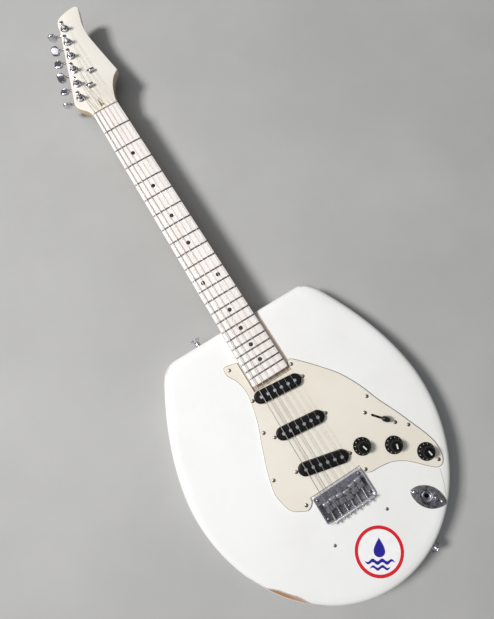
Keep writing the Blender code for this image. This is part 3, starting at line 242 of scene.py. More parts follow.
def bothSides(x, y, reach, turn):  # the two points at a reach either way along a turned line
    return [(x + side * reach * cos(turn), y + side * reach * sin(turn)) for side in (-1, 1)]


def slotOutline(x, y, length, width, heading=0.0, steps=14):
    reach, points = (length - width) / 2, []
    for side in (1, -1):
        for i in range(steps + 1):
            angle = pi * (i / steps - 0.5)
            point = Vector((reach + cos(angle) * width / 2, sin(angle) * width / 2))
            points.append(tuple(Vector((x, y)) + Matrix.Rotation(heading, 2) @ (side * point)))
    return points


def boxOutline(x, y, width, depth, radius=0.0, steps=6):
    points = []
    for quarter, (sx, sy) in enumerate(((1, 1), (-1, 1), (-1, -1), (1, -1))):
        for i in range(steps + 1 if radius else 1):
            angle = (quarter + i / steps) * pi / 2
            points.append((x + sx * (width / 2 - radius) + radius * cos(angle),
                           y + sy * (depth / 2 - radius) + radius * sin(angle)))
    return points


def outlineThrough(points, sharp, steps):  # closed smooth outline, with corners where sharp
    count, outline = len(points), []
    for i in range(count):
        after = (i + 1) % count
        start, end = Vector(points[i]), Vector(points[after])
        if i in sharp and after in sharp:
            outline.append(tuple(start))
            continue
        leaving = (end - (start if i in sharp else Vector(points[i - 1]))) / 2
        coming = ((end if after in sharp else Vector(points[(i + 2) % count])) - start) / 2
        for k in range(steps):
            t = k / steps
            outline.append(tuple((2 * t**3 - 3 * t**2 + 1) * start + (t**3 - 2 * t**2 + t) * leaving
                                 + (3 * t**2 - 2 * t**3) * end + (t**3 - t**2) * coming))
    return outline


def hullOutline(discs):  # convex outline round (x, y, radius) discs
    points = sorted(point for x, y, radius in discs for point in discOutline(x, y, radius, 24))
    hull = []
    for row in (points, points[::-1]):
        chain = []
        for point in row:
            while len(chain) > 1:
                a = Vector(chain[-1]) - Vector(chain[-2])
                b = Vector(point) - Vector(chain[-1])
                if a.x * b.y - a.y * b.x > 1e-9:
                    break
                chain.pop()
            chain.append(point)
        hull += chain[:-1]
    return hull


# Camera, light and floor
view = {"place": (-0.0368, 0.1217, 0.6912), "turn": (-0.154046, 0.0517948, 0.549181),
        "imageLong": 619, "focalPixels": 452.5, "sensor": 36.0}
light = {"key": (-2.3, 1.74, 3.35), "keySize": 0.95, "keyPower": 208.0,
         "fill": (-0.5, 0.4, 2.3), "fillSize": 2.0, "fillPower": 15.0,
         "world": (0.93, 0.95, 1.0), "worldStrength": 0.13}


def setCamera():
    turn = Vector(view["turn"])
    data = bpy.data.cameras.new("camera")
    data.sensor_width = view["sensor"]
    data.lens = view["focalPixels"] * view["sensor"] / view["imageLong"]
    data.clip_start = 0.01
    camera = bpy.data.objects.new("camera", data)
    rotation = Matrix.Rotation(turn.length, 3, turn).transposed()
    camera.matrix_world = Matrix.Translation(view["place"]) @ rotation.to_4x4()
    linkPiece(camera)
    bpy.context.scene.camera = camera


def areaLight(name, place, size, power, tint):
    data = bpy.data.lights.new(name, "AREA")
    data.size, data.energy, data.color = size, power, tint
    lamp = bpy.data.objects.new(name, data)
    lamp.matrix_world = Matrix.Translation(place) @ Vector(place).to_track_quat("Z", "Y").to_matrix().to_4x4()
    linkPiece(lamp)


def setStage():
    areaLight("keyLight", light["key"], light["keySize"], light["keyPower"], (1.0, 0.985, 0.965))
    areaLight("fillLight", light["fill"], light["fillSize"], light["fillPower"], (0.95, 0.97, 1.0))
    world = bpy.data.worlds.new("paleRoom")
    world.use_nodes = True
    world.node_tree.nodes["Background"].inputs["Color"].default_value = (*light["world"], 1)
    world.node_tree.nodes["Background"].inputs["Strength"].default_value = light["worldStrength"]
    bpy.context.scene.world = world
    bpy.context.scene.view_settings.view_transform = "Standard"
    bpy.ops.mesh.primitive_plane_add(size=12, location=(0, 0, -0.0002))
    floor = bpy.context.active_object
    floor.name = "floor"
    floor.data.materials.append(floorMaterial())


# Shader pieces that several finishes share
def feed(tree, value, socket):  # a link from a socket, or a plain value
    if isinstance(value, bpy.types.NodeSocket):
        tree.links.new(value, socket)
    else:
        socket.default_value = value


def addNode(tree, kind, inputs=None, **settings):
    made = tree.nodes.new("ShaderNode" + kind)
    for key, value in settings.items():
        setattr(made, key, value)
    for key, value in (inputs or {}).items():
        feed(tree, value, made.inputs[key])
    return made


def newGroup(name, inputs, outputs):
    group = bpy.data.node_groups.new(name, "ShaderNodeTree")
    for label, kind, value in inputs:
        socket = group.interface.new_socket(label, in_out="INPUT", socket_type=kind)
        if value is not None:
            socket.default_value = value
    for label, kind in outputs:
        group.interface.new_socket(label, in_out="OUTPUT", socket_type=kind)
    return group, group.nodes.new("NodeGroupInput").outputs, group.nodes.new("NodeGroupOutput").inputs


number, vector, colour = "NodeSocketFloat", "NodeSocketVector", "NodeSocketColor"


def axes(tree, spot):
    return addNode(tree, "SeparateXYZ", {"Vector": spot}).outputs[:]


def softStep(tree, value, low, high):
    return addNode(tree, "MapRange", {"Value": value, "From Min": low, "From Max": high},
                   interpolation_type="SMOOTHSTEP").outputs["Result"]


def maths(tree, operation, first, second=0.0):
    return addNode(tree, "Math", {0: first, 1: second}, operation=operation).outputs[0]


def times(tree, first, second):
    return maths(tree, "MULTIPLY", first, second)


def plus(tree, first, second):
    return maths(tree, "ADD", first, second)


def minus(tree, first, second):
    return maths(tree, "SUBTRACT", first, second)


def isAbove(tree, value, level):
    return maths(tree, "GREATER_THAN", value, level)


def isBelow(tree, value, level):
    return maths(tree, "LESS_THAN", value, level)


def makePatchesGroup():  # broad uneven patches: 0 to 1
    group, given, out = newGroup("patches", [("Vector", vector, None), ("Scale", number, 20.0),
                                             ("Low", number, 0.45), ("High", number, 0.65)],
                                 [("Mask", number)])
    noise = addNode(group, "TexNoise", {"Vector": given["Vector"], "Scale": given["Scale"], "Detail": 5.0,
                                        "Roughness": 0.6})
    group.links.new(softStep(group, noise.outputs["Fac"], given["Low"], given["High"]), out["Mask"])
    return group


def makeSpecksGroup():  # small specks of dust and dirt
    group, given, out = newGroup("specks", [("Vector", vector, None), ("Scale", number, 400.0),
                                            ("Size", number, 0.12), ("Share", number, 0.5)],
                                 [("Mask", number)])
    cells = addNode(group, "TexVoronoi", {"Vector": given["Vector"], "Scale": given["Scale"]})
    dots = softStep(group, cells.outputs["Distance"], given["Size"], 0.02)
    chosen = addNode(group, "TexNoise", {"Vector": given["Vector"], "Scale": 60.0, "Detail": 3.0})
    some = isAbove(group, chosen.outputs["Fac"], given["Share"])
    group.links.new(times(group, dots, some), out["Mask"])
    return group


def makeGrainGroup():  # wood grain along Y
    group, given, out = newGroup("grain", [("Vector", vector, None), ("Scale", number, 60.0),
                                           ("Warp", number, 0.6)],
                                 [("Streak", number), ("Pores", number)])
    stretch = addNode(group, "Mapping", {"Vector": given["Vector"], "Scale": (1.0, 0.07, 1.0)})
    noise = addNode(group, "TexNoise", {"Vector": stretch.outputs[0], "Scale": given["Scale"], "Detail": 7.0,
                                        "Roughness": 0.62, "Distortion": given["Warp"]})
    fine = addNode(group, "Mapping", {"Vector": given["Vector"], "Scale": (1.0, 0.03, 1.0)})
    pores = addNode(group, "TexNoise", {"Vector": fine.outputs[0], "Scale": 1600.0, "Detail": 3.0})
    group.links.new(noise.outputs["Fac"], out["Streak"])
    group.links.new(softStep(group, pores.outputs["Fac"], 0.60, 0.70), out["Pores"])
    return group


def makeScratchGroup():  # thin scratches that run two ways
    group, given, out = newGroup("scratches", [("Vector", vector, None), ("Scale", number, 90.0),
                                               ("Amount", number, 0.5)], [("Mask", number)])
    total = None
    for turn, long in ((0.5, 0.05), (-1.1, 0.03)):
        lie = addNode(group, "Mapping", {"Vector": given["Vector"], "Rotation": (0, 0, turn),
                                         "Scale": (1.0, long, 1.0)})
        noise = addNode(group, "TexNoise", {"Vector": lie.outputs[0], "Scale": given["Scale"], "Detail": 6.0,
                                            "Roughness": 0.7})
        thin = softStep(group, maths(group, "ABSOLUTE", minus(group, noise.outputs["Fac"], 0.5)), 0.010, 0.0)
        total = thin if total is None else maths(group, "MAXIMUM", total, thin)
    group.links.new(times(group, total, given["Amount"]), out["Mask"])
    return group


def makeWindowGroup():  # 1 between two values, with soft sides
    group, given, out = newGroup("window", [("Value", number, 0.0), ("Start", number, 0.0),
                                            ("End", number, 1.0), ("Soft", number, 0.1)], [("Mask", number)])
    rise = softStep(group, given["Value"], minus(group, given["Start"], given["Soft"]), given["Start"])
    fall = softStep(group, given["Value"], given["End"], plus(group, given["End"], given["Soft"]))
    group.links.new(times(group, rise, minus(group, 1.0, fall)), out["Mask"])
    return group


shared = {"patches": makePatchesGroup(), "specks": makeSpecksGroup(), "grain": makeGrainGroup(),
          "scratches": makeScratchGroup(), "window": makeWindowGroup()}


def useGroup(tree, name, inputs):
    made = tree.nodes.new("ShaderNodeGroup")
    made.node_tree = shared[name]
    for key, value in inputs.items():
        feed(tree, value, made.inputs[key])
    return made


def patchMask(tree, spot, scale, low, high):
    return useGroup(tree, "patches", {"Vector": spot, "Scale": scale, "Low": low, "High": high}).outputs[0]


def scratchMask(tree, spot, scale, amount):
    return useGroup(tree, "scratches", {"Vector": spot, "Scale": scale, "Amount": amount}).outputs[0]


def speckMask(tree, spot, scale, share, size=0.12):
    return useGroup(tree, "specks", {"Vector": spot, "Scale": scale, "Size": size, "Share": share}).outputs[0]


def windowMask(tree, value, start, end, soft):
    return useGroup(tree, "window", {"Value": value, "Start": start, "End": end, "Soft": soft}).outputs[0]


def newMaterial(name, rough=0.4, metal=0.0, **shine):
    material = bpy.data.materials.new(name)
    material.use_nodes = True
    tree = material.node_tree
    shader = tree.nodes["Principled BSDF"]
    shader.inputs["Roughness"].default_value = rough
    shader.inputs["Metallic"].default_value = metal
    for key, value in shine.items():
        shader.inputs[key.replace("_", " ")].default_value = value
    spot = addNode(tree, "TexCoord").outputs["Object"]
    return material, tree, shader, spot


def blendColour(tree, mask, under, over):
    made = addNode(tree, "Mix", data_type="RGBA")
    for key, value in (("Factor", mask), ("A", under), ("B", over)):
        socket = [s for s in made.inputs if s.name == key and s.enabled][0]
        feed(tree, (*value, 1) if isinstance(value, tuple) else value, socket)
    return [s for s in made.outputs if s.enabled][0]


def blendValue(tree, mask, under, over):
    return addNode(tree, "MapRange", {"Value": mask, "To Min": under, "To Max": over}).outputs["Result"]


def paint(tree, shader, colour, rough=None):
    tree.links.new(colour, shader.inputs["Base Color"])
    if rough is not None:
        tree.links.new(rough, shader.inputs["Roughness"])


def bumpTo(tree, shader, height, depth, strength=1.0):
    bump = addNode(tree, "Bump", {"Height": height, "Distance": depth, "Strength": strength})
    tree.links.new(bump.outputs["Normal"], shader.inputs["Normal"])


def simpleFinish(name, base, tone, rough, metal=0.0, scale=60.0, grit=0.0, scratch=0.0, depth=0.00002,
                 **shine):
    material, tree, shader, spot = newMaterial(name, rough, metal, **shine)
    patches = patchMask(tree, spot, scale, 0.35, 0.7)
    marks = scratchMask(tree, spot, scale * 2, scratch)
    dust = speckMask(tree, spot, 900.0, 0.5)
    mixed = blendColour(tree, patches, base, tone)
    mixed = blendColour(tree, times(tree, dust, grit), mixed, (0.45, 0.42, 0.38))
    uneven = plus(tree, blendValue(tree, patches, rough * 0.8, rough * 1.35), times(tree, marks, 0.15))
    paint(tree, shader, mixed, uneven)
    bumpTo(tree, shader, minus(tree, patches, marks), depth)
    return material


# Finishes
def floorMaterial():
    material, tree, shader, spot = newMaterial("paleFloor", 0.75)
    patches = patchMask(tree, spot, 3.0, 0.3, 0.75)
    paint(tree, shader, blendColour(tree, patches, (0.36, 0.36, 0.355), (0.41, 0.41, 0.405)))
    return material


# Lid colours: real wear, with two painted shades: the "line" colour is a painted shadow along the chipped
# paint's edge, and the brownish strip beside the neck is a painted shadow.
wearAndShade = {"enamel": (0.795, 0.797, 0.795), "aged": (0.755, 0.752, 0.73), "bare": (0.43, 0.22, 0.095),
        "pale": (0.60, 0.36, 0.29), "line": (0.06, 0.045, 0.035),
        "notch": (0.50, 0.36, 0.235), "beside": (0.66, 0.54, 0.44),
        "notchEnd": 0.1096, "notchFrom": 0.090, "notchHalf": 0.031, "besideWide": 0.0062,
        "crackTop": -0.1190, "crackLong": 0.0330, "crackX": 0.1323, "crackLean": 0.389, "crackBow": 0.0009,
        "crackWide": 0.00042, "topFace": 0.040}


def bodyTerms(tree, spot):  # the place on each axis, how far out it is, and the angle round the middle
    places = axes(tree, spot)
    across = maths(tree, "DIVIDE", minus(tree, places[0], body["shift"]), body["halfWidth"])
    along = maths(tree, "DIVIDE", places[1], body["buttReach"])
    out = maths(tree, "SQRT", plus(tree, maths(tree, "POWER", across, 2.0), maths(tree, "POWER", along, 2.0)))
    turn = maths(tree, "ARCTAN2", along, across)
    return places, out, turn


def besideMask(tree, x, y):  # painted shade: a brownish strip along the neck's right side, where the neck's shadow falls
    slope = (halfNeck(0.2) - halfNeck(0.1)) / 0.1
    side = plus(tree, times(tree, y, slope), halfNeck(0.0))
    near = windowMask(tree, minus(tree, x, side), -0.002, wearAndShade["besideWide"], 0.0006)
    return times(tree, near, isAbove(tree, y, neck["boardEnd"]))


def crackMask(tree, x, y, rough):  # a hairline from the guard's tip to the edge
    share = maths(tree, "DIVIDE", minus(tree, wearAndShade["crackTop"], y), wearAndShade["crackLong"])
    bow = times(tree, maths(tree, "SINE", times(tree, share, pi)), wearAndShade["crackBow"])
    line = minus(tree, wearAndShade["crackX"], times(tree, share, wearAndShade["crackLean"] * wearAndShade["crackLong"]))
    line = plus(tree, plus(tree, line, bow), times(tree, minus(tree, rough, 0.5), 0.0022))
    near = softStep(tree, maths(tree, "ABSOLUTE", minus(tree, x, line)), wearAndShade["crackWide"], 0.0001)
    along = windowMask(tree, share, 0.0, 1.0, 0.05)
    return times(tree, times(tree, near, along), 0.8)


def cornerMask(tree, turn, out, rough):  # chipped paint round the two corners at the hinge end
    total = None
    for start, end in ((0.90, 1.12), (2.06, 2.28)):
        span = windowMask(tree, turn, start, end, 0.05)
        total = span if total is None else plus(tree, total, span)
    rim = softStep(tree, plus(tree, out, times(tree, rough, 0.05)), 1.112, 1.122)
    return times(tree, times(tree, total, rim), 0.6)


def enamelMaterial():
    material, tree, shader, spot = newMaterial("enamel", 0.3, Coat_Weight=0.25, Coat_Roughness=0.2)
    (x, y, z), out, turn = bodyTerms(tree, spot)
    patches = patchMask(tree, spot, 9.0, 0.35, 0.75)
    rough = addNode(tree, "TexNoise", {"Vector": spot, "Scale": 130.0, "Detail": 6.0,
                                       "Roughness": 0.65}).outputs[0]
    jag = times(tree, minus(tree, rough, 0.5), 0.013)
    dust = speckMask(tree, spot, 260.0, 0.56, 0.10)
    colour = blendColour(tree, patches, wearAndShade["enamel"], wearAndShade["aged"])
    colour = blendColour(tree, times(tree, dust, 0.35), colour, (0.40, 0.35, 0.28))
    span = windowMask(tree, turn, -2.42, -2.30, 0.13)
    reach = blendValue(tree, span, 0.992, 0.960)
    edge = plus(tree, out, jag)
    deep = isAbove(tree, z, 0.0345)
    arc = windowMask(tree, turn, -2.62, -2.13, 0.05)
    # painted shade: a dark line just inside the chipped paint's edge at the lower left, standing for the
    # shadow at the paint's edge
    line = windowMask(tree, minus(tree, edge, reach), -0.006, -0.002, 0.0015)
    line = times(tree, times(tree, line, arc), times(tree, deep, 0.55))
    bare = times(tree, softStep(tree, minus(tree, edge, reach), -0.001, 0.001),
                 times(tree, softStep(tree, out, 0.989, 0.985), deep))
    tone = softStep(tree, turn, -2.42, -2.22)
    grain = useGroup(tree, "grain", {"Vector": spot, "Scale": 240.0}).outputs["Streak"]
    wood = blendColour(tree, tone, wearAndShade["bare"], wearAndShade["pale"])
    wood = blendColour(tree, times(tree, grain, 0.5), wood, (0.16, 0.08, 0.04))
    colour = blendColour(tree, line, colour, wearAndShade["line"])
    colour = blendColour(tree, bare, colour, wood)
    top = isAbove(tree, z, wearAndShade["topFace"])
    # painted shade beside the neck's right side on the lid's top face
    colour = blendColour(tree, times(tree, top, besideMask(tree, x, y)), colour, wearAndShade["beside"])
    notch = times(tree, windowMask(tree, y, wearAndShade["notchFrom"], wearAndShade["notchEnd"], 0.0004),
                  softStep(tree, maths(tree, "ABSOLUTE", x), wearAndShade["notchHalf"] + 0.0005, wearAndShade["notchHalf"]))
    notchWood = blendColour(tree, softStep(tree, grain, 0.40, 0.62), wearAndShade["notch"], (0.27, 0.18, 0.11))
    colour = blendColour(tree, times(tree, top, notch), colour, notchWood)
    crack = times(tree, top, crackMask(tree, x, y, rough))
    colour = blendColour(tree, crack, colour, (0.10, 0.085, 0.07))
    corner = times(tree, cornerMask(tree, turn, out, rough), deep)
    colour = blendColour(tree, corner, colour, (0.42, 0.36, 0.29))
    paint(tree, shader, colour, blendValue(tree, bare, 0.27, 0.62))
    ground = minus(tree, times(tree, rough, 0.10), times(tree, bare, 1.0))
    bumpTo(tree, shader, ground, 0.0003, 0.6)
    return material


# Lid and core
body = {"halfWidth": 0.186, "buttReach": 0.214, "hingeReach": 0.200, "flankTaper": 0.354,
        "flankPower": 1.8, "hingeCorner": 0.028, "shift": -0.0025, "coreInset": 0.0006,
        "rim": ((0.0006, 0.0155), (0.0, 0.0095), (0.0009, 0.0055), (0.0031, 0.0026), (0.0065, 0.0008),
                (0.012, 0.0)),
        "coreEdge": ((0.005, 0.0), (0.0030, 0.0003), (0.0015, 0.0012), (0.0005, 0.0027), (0.0, 0.0048)),
        "seam": 0.0003}
lidLow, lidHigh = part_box("toilet_lid")
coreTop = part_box("body_core")[1].z
lidTop = lidHigh.z
fitGap = 0.0003  # the gap that the CAD model leaves between seated pieces
seatTop = lidTop + fitGap


def flank(y):
    return body["halfWidth"] * (1 - (y / body["flankTaper"]) ** body["flankPower"])


def flankSlope(y):
    power = body["flankPower"]
    return body["halfWidth"] * power / body["flankTaper"] * (y / body["flankTaper"]) ** (power - 1)


def bodyOutline(inward, fine=4):
    corner, reach, half, butt = body["hingeCorner"], body["hingeReach"], body["halfWidth"], body["buttReach"]
    lean = 0.5
    for _ in range(8):
        meet = reach - corner * (1 - sin(lean))
        lean = atan(flankSlope(meet))
    right = []
    for i in range(14 * fine):
        across = sin(pi / 2 * i / (14 * fine))
        along = -cos(pi / 2 * i / (14 * fine))
        normal = Vector((across * butt, along * half)).normalized()
        right.append(Vector((across * half, along * butt)) - normal * inward)
    for i in range(7 * fine):
        y = meet * i / (7 * fine)
        right.append(Vector((flank(y), y)) - Vector((1, flankSlope(y))).normalized() * inward)
    centre = Vector((flank(meet) - corner * cos(lean), reach - corner))
    for i in range(4 * fine + 1):
        angle = lean + (pi / 2 - lean) * i / (4 * fine)
        right.append(centre + (corner - inward) * Vector((cos(angle), sin(angle))))
    left = [Vector((-point.x, point.y)) for point in reversed(right[1:])]
    return [(point.x + body["shift"], point.y) for point in right + left]


def ringAt(outline, z):
    return [(x, y, z) for x, y in outline]


def smoothRow(row, steps):  # a finer row through the (inward, drop) pairs
    fine = []
    for i in range(len(row) - 1):
        before, start, end = Vector(row[max(i - 1, 0)]), Vector(row[i]), Vector(row[i + 1])
        after = Vector(row[min(i + 2, len(row) - 1)])
        for k in range(steps):
            t = k / steps
            fine.append(((2 * start) + (end - before) * t + (2 * before - 5 * start + 4 * end - after) * t**2
                         + (3 * start - before - 3 * end + after) * t**3) / 2)
    return fine + [Vector(row[-1])]


pickups = {"names": ("neck", "middle", "bridge"), "tilts": (5.4, 6.6, 13.1), "coverLong": 0.0715,
           "coverWide": 0.018, "round": 0.0016, "poleRadius": 0.0024, "polePitch": 0.0104,
           "poleProud": 0.0008, "screwReach": 0.03925, "gap": 0.0006, "wall": 0.0012}
controls = {"names": ("volume", "tone_1", "tone_2"), "switchTurn": -48.7, "switchReach": 0.02175}
boltSpread = (0.038, 0.051)
routes = {"pocket": 0.0284, "mouth": 0.0271, "mouthReach": 0.211, "slotLong": 0.0847, "slotWide": 0.0196,
          "knob": 0.0095, "switchScrew": 0.009, "jack": 0.0129, "roomFloor": 0.007, "jackFloor": 0.008,
          "plate": (0.0516, 0.0646, 0.0045), "plateDeep": 0.0026, "overrun": 0.002}


def middleOf(name):
    low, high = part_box(name)
    return (low + high) / 2


def pickupPlaces():
    for name, tilt in zip(pickups["names"], pickups["tilts"]):
        spot = middleOf("pickup_cover_" + name)
        yield name, spot.x, spot.y, -radians(tilt)


def switchScrews():
    spot = middleOf("selector_switch")
    return bothSides(spot.x, spot.y, controls["switchReach"], radians(controls["switchTurn"]))


def controlRoom():
    discs = [(middleOf("knob_" + name).x, middleOf("knob_" + name).y, routes["knob"])
             for name in controls["names"]]
    return hullOutline(discs + [(x, y, routes["switchScrew"]) for x, y in switchScrews()])


def makeBody():
    rim = smoothRow(body["rim"], 4) + [Vector((0.016, 0.0))]
    lid = loftPiece("lid", [ringAt(bodyOutline(inward), lidTop - drop) for inward, drop in rim])
    past = routes["overrun"]
    below, above = lidLow.z - past, lidTop + past
    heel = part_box("neck")[0].y - body["seam"]
    half, mouth, reach = routes["pocket"], routes["mouth"], routes["mouthReach"]
    pocket = [(-half, heel), (half, heel), (mouth, reach), (-mouth, reach)]
    cutters = [slabPiece("pocket", pocket, below, above)]
    cutters += [slabPiece("slot", slotOutline(x, y, routes["slotLong"], routes["slotWide"], turn), below,
                          above) for _, x, y, turn in pickupPlaces()]
    cutters.append(slabPiece("room", controlRoom(), below, above))
    jack = middleOf("jack_plate")
    cutters.append(slabPiece("jackHole", discOutline(jack.x, jack.y, routes["jack"], 40), below, above))
    carve(lid, cutters)
    finishPiece(lid, enamelMaterial(), stands=("toilet_lid",), angle=40)
    edge = list(body["coreEdge"]) + [(0.0, coreTop)]
    core = loftPiece("core", [ringAt(bodyOutline(body["coreInset"] + inward), z) for inward, z in edge])
    plateLow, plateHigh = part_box("neck_plate")
    recess = boxOutline(0, (plateLow.y + plateHigh.y) / 2, *routes["plate"])
    carve(core, [slabPiece("recess", recess, -past, routes["plateDeep"]),
                 slabPiece("room", controlRoom(), routes["roomFloor"], coreTop + past),
                 slabPiece("jackRoom", discOutline(jack.x, jack.y, routes["jack"]), routes["jackFloor"],
                           coreTop + past)])
    finishPiece(core, coreMaterial(), stands=("body_core",), angle=40)
    print("body made")


def coreMaterial():
    material, tree, shader, spot = newMaterial("paintedCore", 0.42)
    (_, _, z), out, _ = bodyTerms(tree, spot)
    patches = patchMask(tree, spot, 12.0, 0.3, 0.75)
    chips = patchMask(tree, spot, 45.0, 0.62, 0.64)
    marks = scratchMask(tree, spot, 50.0, 0.7)
    low = softStep(tree, z, 0.004, 0.0)
    worn = times(tree, chips, times(tree, low, softStep(tree, out, 0.96, 0.985)))
    colour = blendColour(tree, patches, (0.76, 0.755, 0.73), (0.66, 0.65, 0.61))
    colour = blendColour(tree, times(tree, marks, 0.25), colour, (0.35, 0.33, 0.30))
    colour = blendColour(tree, worn, colour, wearAndShade["bare"])
    paint(tree, shader, colour, blendValue(tree, patches, 0.35, 0.55))
    bumpTo(tree, shader, minus(tree, patches, marks), 0.0001, 0.5)
    return material


# Neck, fingerboard, frets, dots and nut
neck = {"nutWidth": 0.042, "endWidth": 0.0564, "boardEnd": 0.109, "boardRadius": 0.241, "scale": 0.648,
        "headThick": 0.014, "rodWide": 0.0062, "rodDeep": 0.0098, "rodPast": 0.0186, "rampLong": 0.0068,
        "rampDeep": 0.0052, "depth": 0.0165, "nutLong": 0.0038, "headEdge": 0.0012}
fret = {"count": 22, "rise": 0.0011, "wide": 0.0023, "sink": 0.0004}
dots = {"frets": (3, 5, 7, 9, 12, 15, 17, 19, 21), "radius": 0.0031, "spread": 0.0125}
posts = {"first": (-0.0242, 0.0398), "pitch": 0.025, "lean": radians(16.5), "sleeve": 0.0048}
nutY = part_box("nut")[0].y
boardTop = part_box("fingerboard")[0].z + 0.0055
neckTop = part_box("fingerboard")[0].z - 0.0003
headFace = boardTop - 0.008
headBack = headFace - neck["headThick"]
keyward = Vector((-cos(posts["lean"]), sin(posts["lean"]), 0))
alongPosts = Vector((sin(posts["lean"]), cos(posts["lean"]), 0))


def halfNeck(y):
    share = (nutY - y) / (nutY - neck["boardEnd"])
    return (neck["nutWidth"] + (neck["endWidth"] - neck["nutWidth"]) * share) / 2


def sag(x):
    return neck["boardRadius"] - sqrt(neck["boardRadius"] ** 2 - x ** 2)


def postPlace(i):
    return Vector((posts["first"][0], nutY + posts["first"][1], 0)) + alongPosts * (i * posts["pitch"])


def neckRing(y, half, top, deep, power):
    ring = []
    for i in range(33):
        across, down = cos(pi * i / 32), abs(sin(pi * i / 32))
        ring.append((half * copysign(abs(across) ** (2 / power), across), y,
                     top - deep * down ** (2 / power)))
    return ring


def headOutline():
    first, last = postPlace(0), postPlace(5)
    span = last.y - first.y
    low = first + keyward * 0.0111 - alongPosts * 0.0092
    top = last + keyward * 0.0080 - alongPosts * 0.0020
    root = neck["nutWidth"] / 2
    points = [(root, nutY + 0.004), (root + 0.0012, nutY + 0.014), (0.0285, first.y - 0.0078),
              (0.0375, first.y + 0.0062), (0.0484, first.y + 0.0147), (0.0445, first.y + span * 0.335),
              (0.0405, first.y + span * 0.569), (0.0378, first.y + span * 0.769),
              (last.x + 0.0277, last.y - 0.0067), (last.x + 0.0325, last.y + 0.0113),
              (last.x + 0.0365, last.y + 0.0243), (last.x + 0.0312, last.y + 0.0288),
              (last.x + 0.0147, last.y + 0.0268), (last.x - 0.0008, last.y + 0.0208),
              (last.x - 0.0068, last.y + 0.0103), (top.x, top.y), (low.x, low.y),
              (low.x + 0.0025, low.y - 0.0070), (low.x + 0.0075, low.y - 0.0145),
              (-root - 0.0025, nutY + 0.012), (-root, nutY + 0.004)]
    return outlineThrough(points, (0, 4, 10, 15, 16, 20), 8)


def neckMaterial():
    material, tree, shader, spot = newMaterial("lacqueredMaple", 0.32, Coat_Weight=0.35, Coat_Roughness=0.15)
    x, y, z = axes(tree, spot)
    grain = useGroup(tree, "grain", {"Vector": spot, "Scale": 70.0})
    streak = softStep(tree, grain.outputs["Streak"], 0.36, 0.66)
    wood = blendColour(tree, streak, (0.72, 0.56, 0.36), (0.56, 0.39, 0.22))
    cream = blendColour(tree, streak, (0.775, 0.745, 0.685), (0.745, 0.70, 0.62))
    face = times(tree, isAbove(tree, z, headFace - 0.0016), isAbove(tree, y, nutY))
    # painted light: the truss-rod slot's walls get the light cream colour to brighten the shade inside the
    # slot
    slot = times(tree, isBelow(tree, maths(tree, "ABSOLUTE", x), 0.0036),
                 isAbove(tree, z, neckTop - neck["rodDeep"] - 0.0003))
    slot = times(tree, slot, isAbove(tree, y, nutY))
    colour = blendColour(tree, maths(tree, "MAXIMUM", face, slot), wood, cream)
    # painted shade: the heel's faces below the board, inside the pocket, are darkened towards dark brown
    heelShadeWood = blendColour(tree, streak, (0.24, 0.155, 0.09), (0.15, 0.09, 0.05))
    heel = times(tree, isBelow(tree, y, 0.196), isBelow(tree, z, neckTop - 0.0002))
    colour = blendColour(tree, times(tree, heel, 0.4), colour, heelShadeWood)
    paint(tree, shader, colour)
    bumpTo(tree, shader, grain.outputs["Streak"], 0.00003)
    return material


def makeNeck():
    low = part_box("neck")[0]
    heel, behind, reach = neckTop - low.z, body["hingeReach"], nutY + neck["nutLong"] + 0.0008
    deep = neck["depth"]
    rows = ((low.y, heel, 14), (behind + 0.002, heel, 14), (behind + 0.004, heel * 0.96, 12),
            (behind + 0.007, heel * 0.99 - 0.0012, 8), (behind + 0.012, deep + 0.0012, 5),
            (behind + 0.019, deep + 0.0003, 3.4), (behind + 0.028, deep, 2.6),
            (nutY - 0.2, deep - 0.0005, 2.3), (nutY - 0.02, deep - 0.0015, 2.2), (reach, deep - 0.0012, 2.4))
    rings = [neckRing(y, halfNeck(y), neckTop, depth, power) for y, depth, power in rows]
    root = neck["nutWidth"] / 2
    rings.append(neckRing(reach + 0.0015, root - 0.0002, neckTop - 0.0009, deep - 0.0022, 2.8))
    rings.append(neckRing(reach + 0.004, root - 0.0004, headFace - 0.0004, deep - 0.0035, 3))
    rings.append(neckRing(reach + 0.013, root - 0.003, headFace - 0.002, deep - 0.006, 3))
    piece = loftPiece("neckWood", rings)
    head = slabPiece("head", headOutline(), headBack, headFace)
    softenEdges(head, neck["headEdge"], 3, 60)
    carve(piece, [head], "UNION")
    near, far = neck["boardEnd"] + 0.030, nutY + neck["rodPast"]
    cutters = [slabPiece("channel", boxOutline(0, (near + far) / 2, neck["rodWide"], far - near),
                         neckTop - neck["rodDeep"], neckTop + 0.003)]
    ramp = loftPiece("ramp", [
        [(side * neck["rodWide"] / 2, far + shift, headFace + z) for side, z in
         ((-1, -drop), (1, -drop), (1, 0.003), (-1, 0.003))]
        for shift, drop in ((-0.0011, neck["rampDeep"] + 0.0008), (neck["rampLong"], -0.0002))])
    cutters += [slabPiece("bore", discOutline(postPlace(i).x, postPlace(i).y, posts["sleeve"] + 0.0003),
                          headBack - 0.002, headFace + 0.002) for i in range(6)]
    carve(piece, cutters)
    carve(piece, [ramp])
    finishPiece(piece, neckMaterial(), stands=("neck",), angle=38)
    print("neck made")


def boardRing(y, narrow, drop=0.0):
    half, bottom, roll = halfNeck(y) - narrow, neckTop + fitGap, 0.0006
    ring = [(-half, y, bottom), (half, y, bottom), (half, y, boardTop - sag(half) - roll - drop)]
    for i in range(13):
        x = (half - roll * 0.4) * cos(pi * i / 12)
        ring.append((x, y, boardTop - sag(x) - drop - (roll * 0.25 if i in (0, 12) else 0)))
    return ring + [(-half, y, boardTop - sag(half) - roll - drop)]


def fretY(number):
    return nutY - neck["scale"] * (1 - 2 ** (-number / 12))


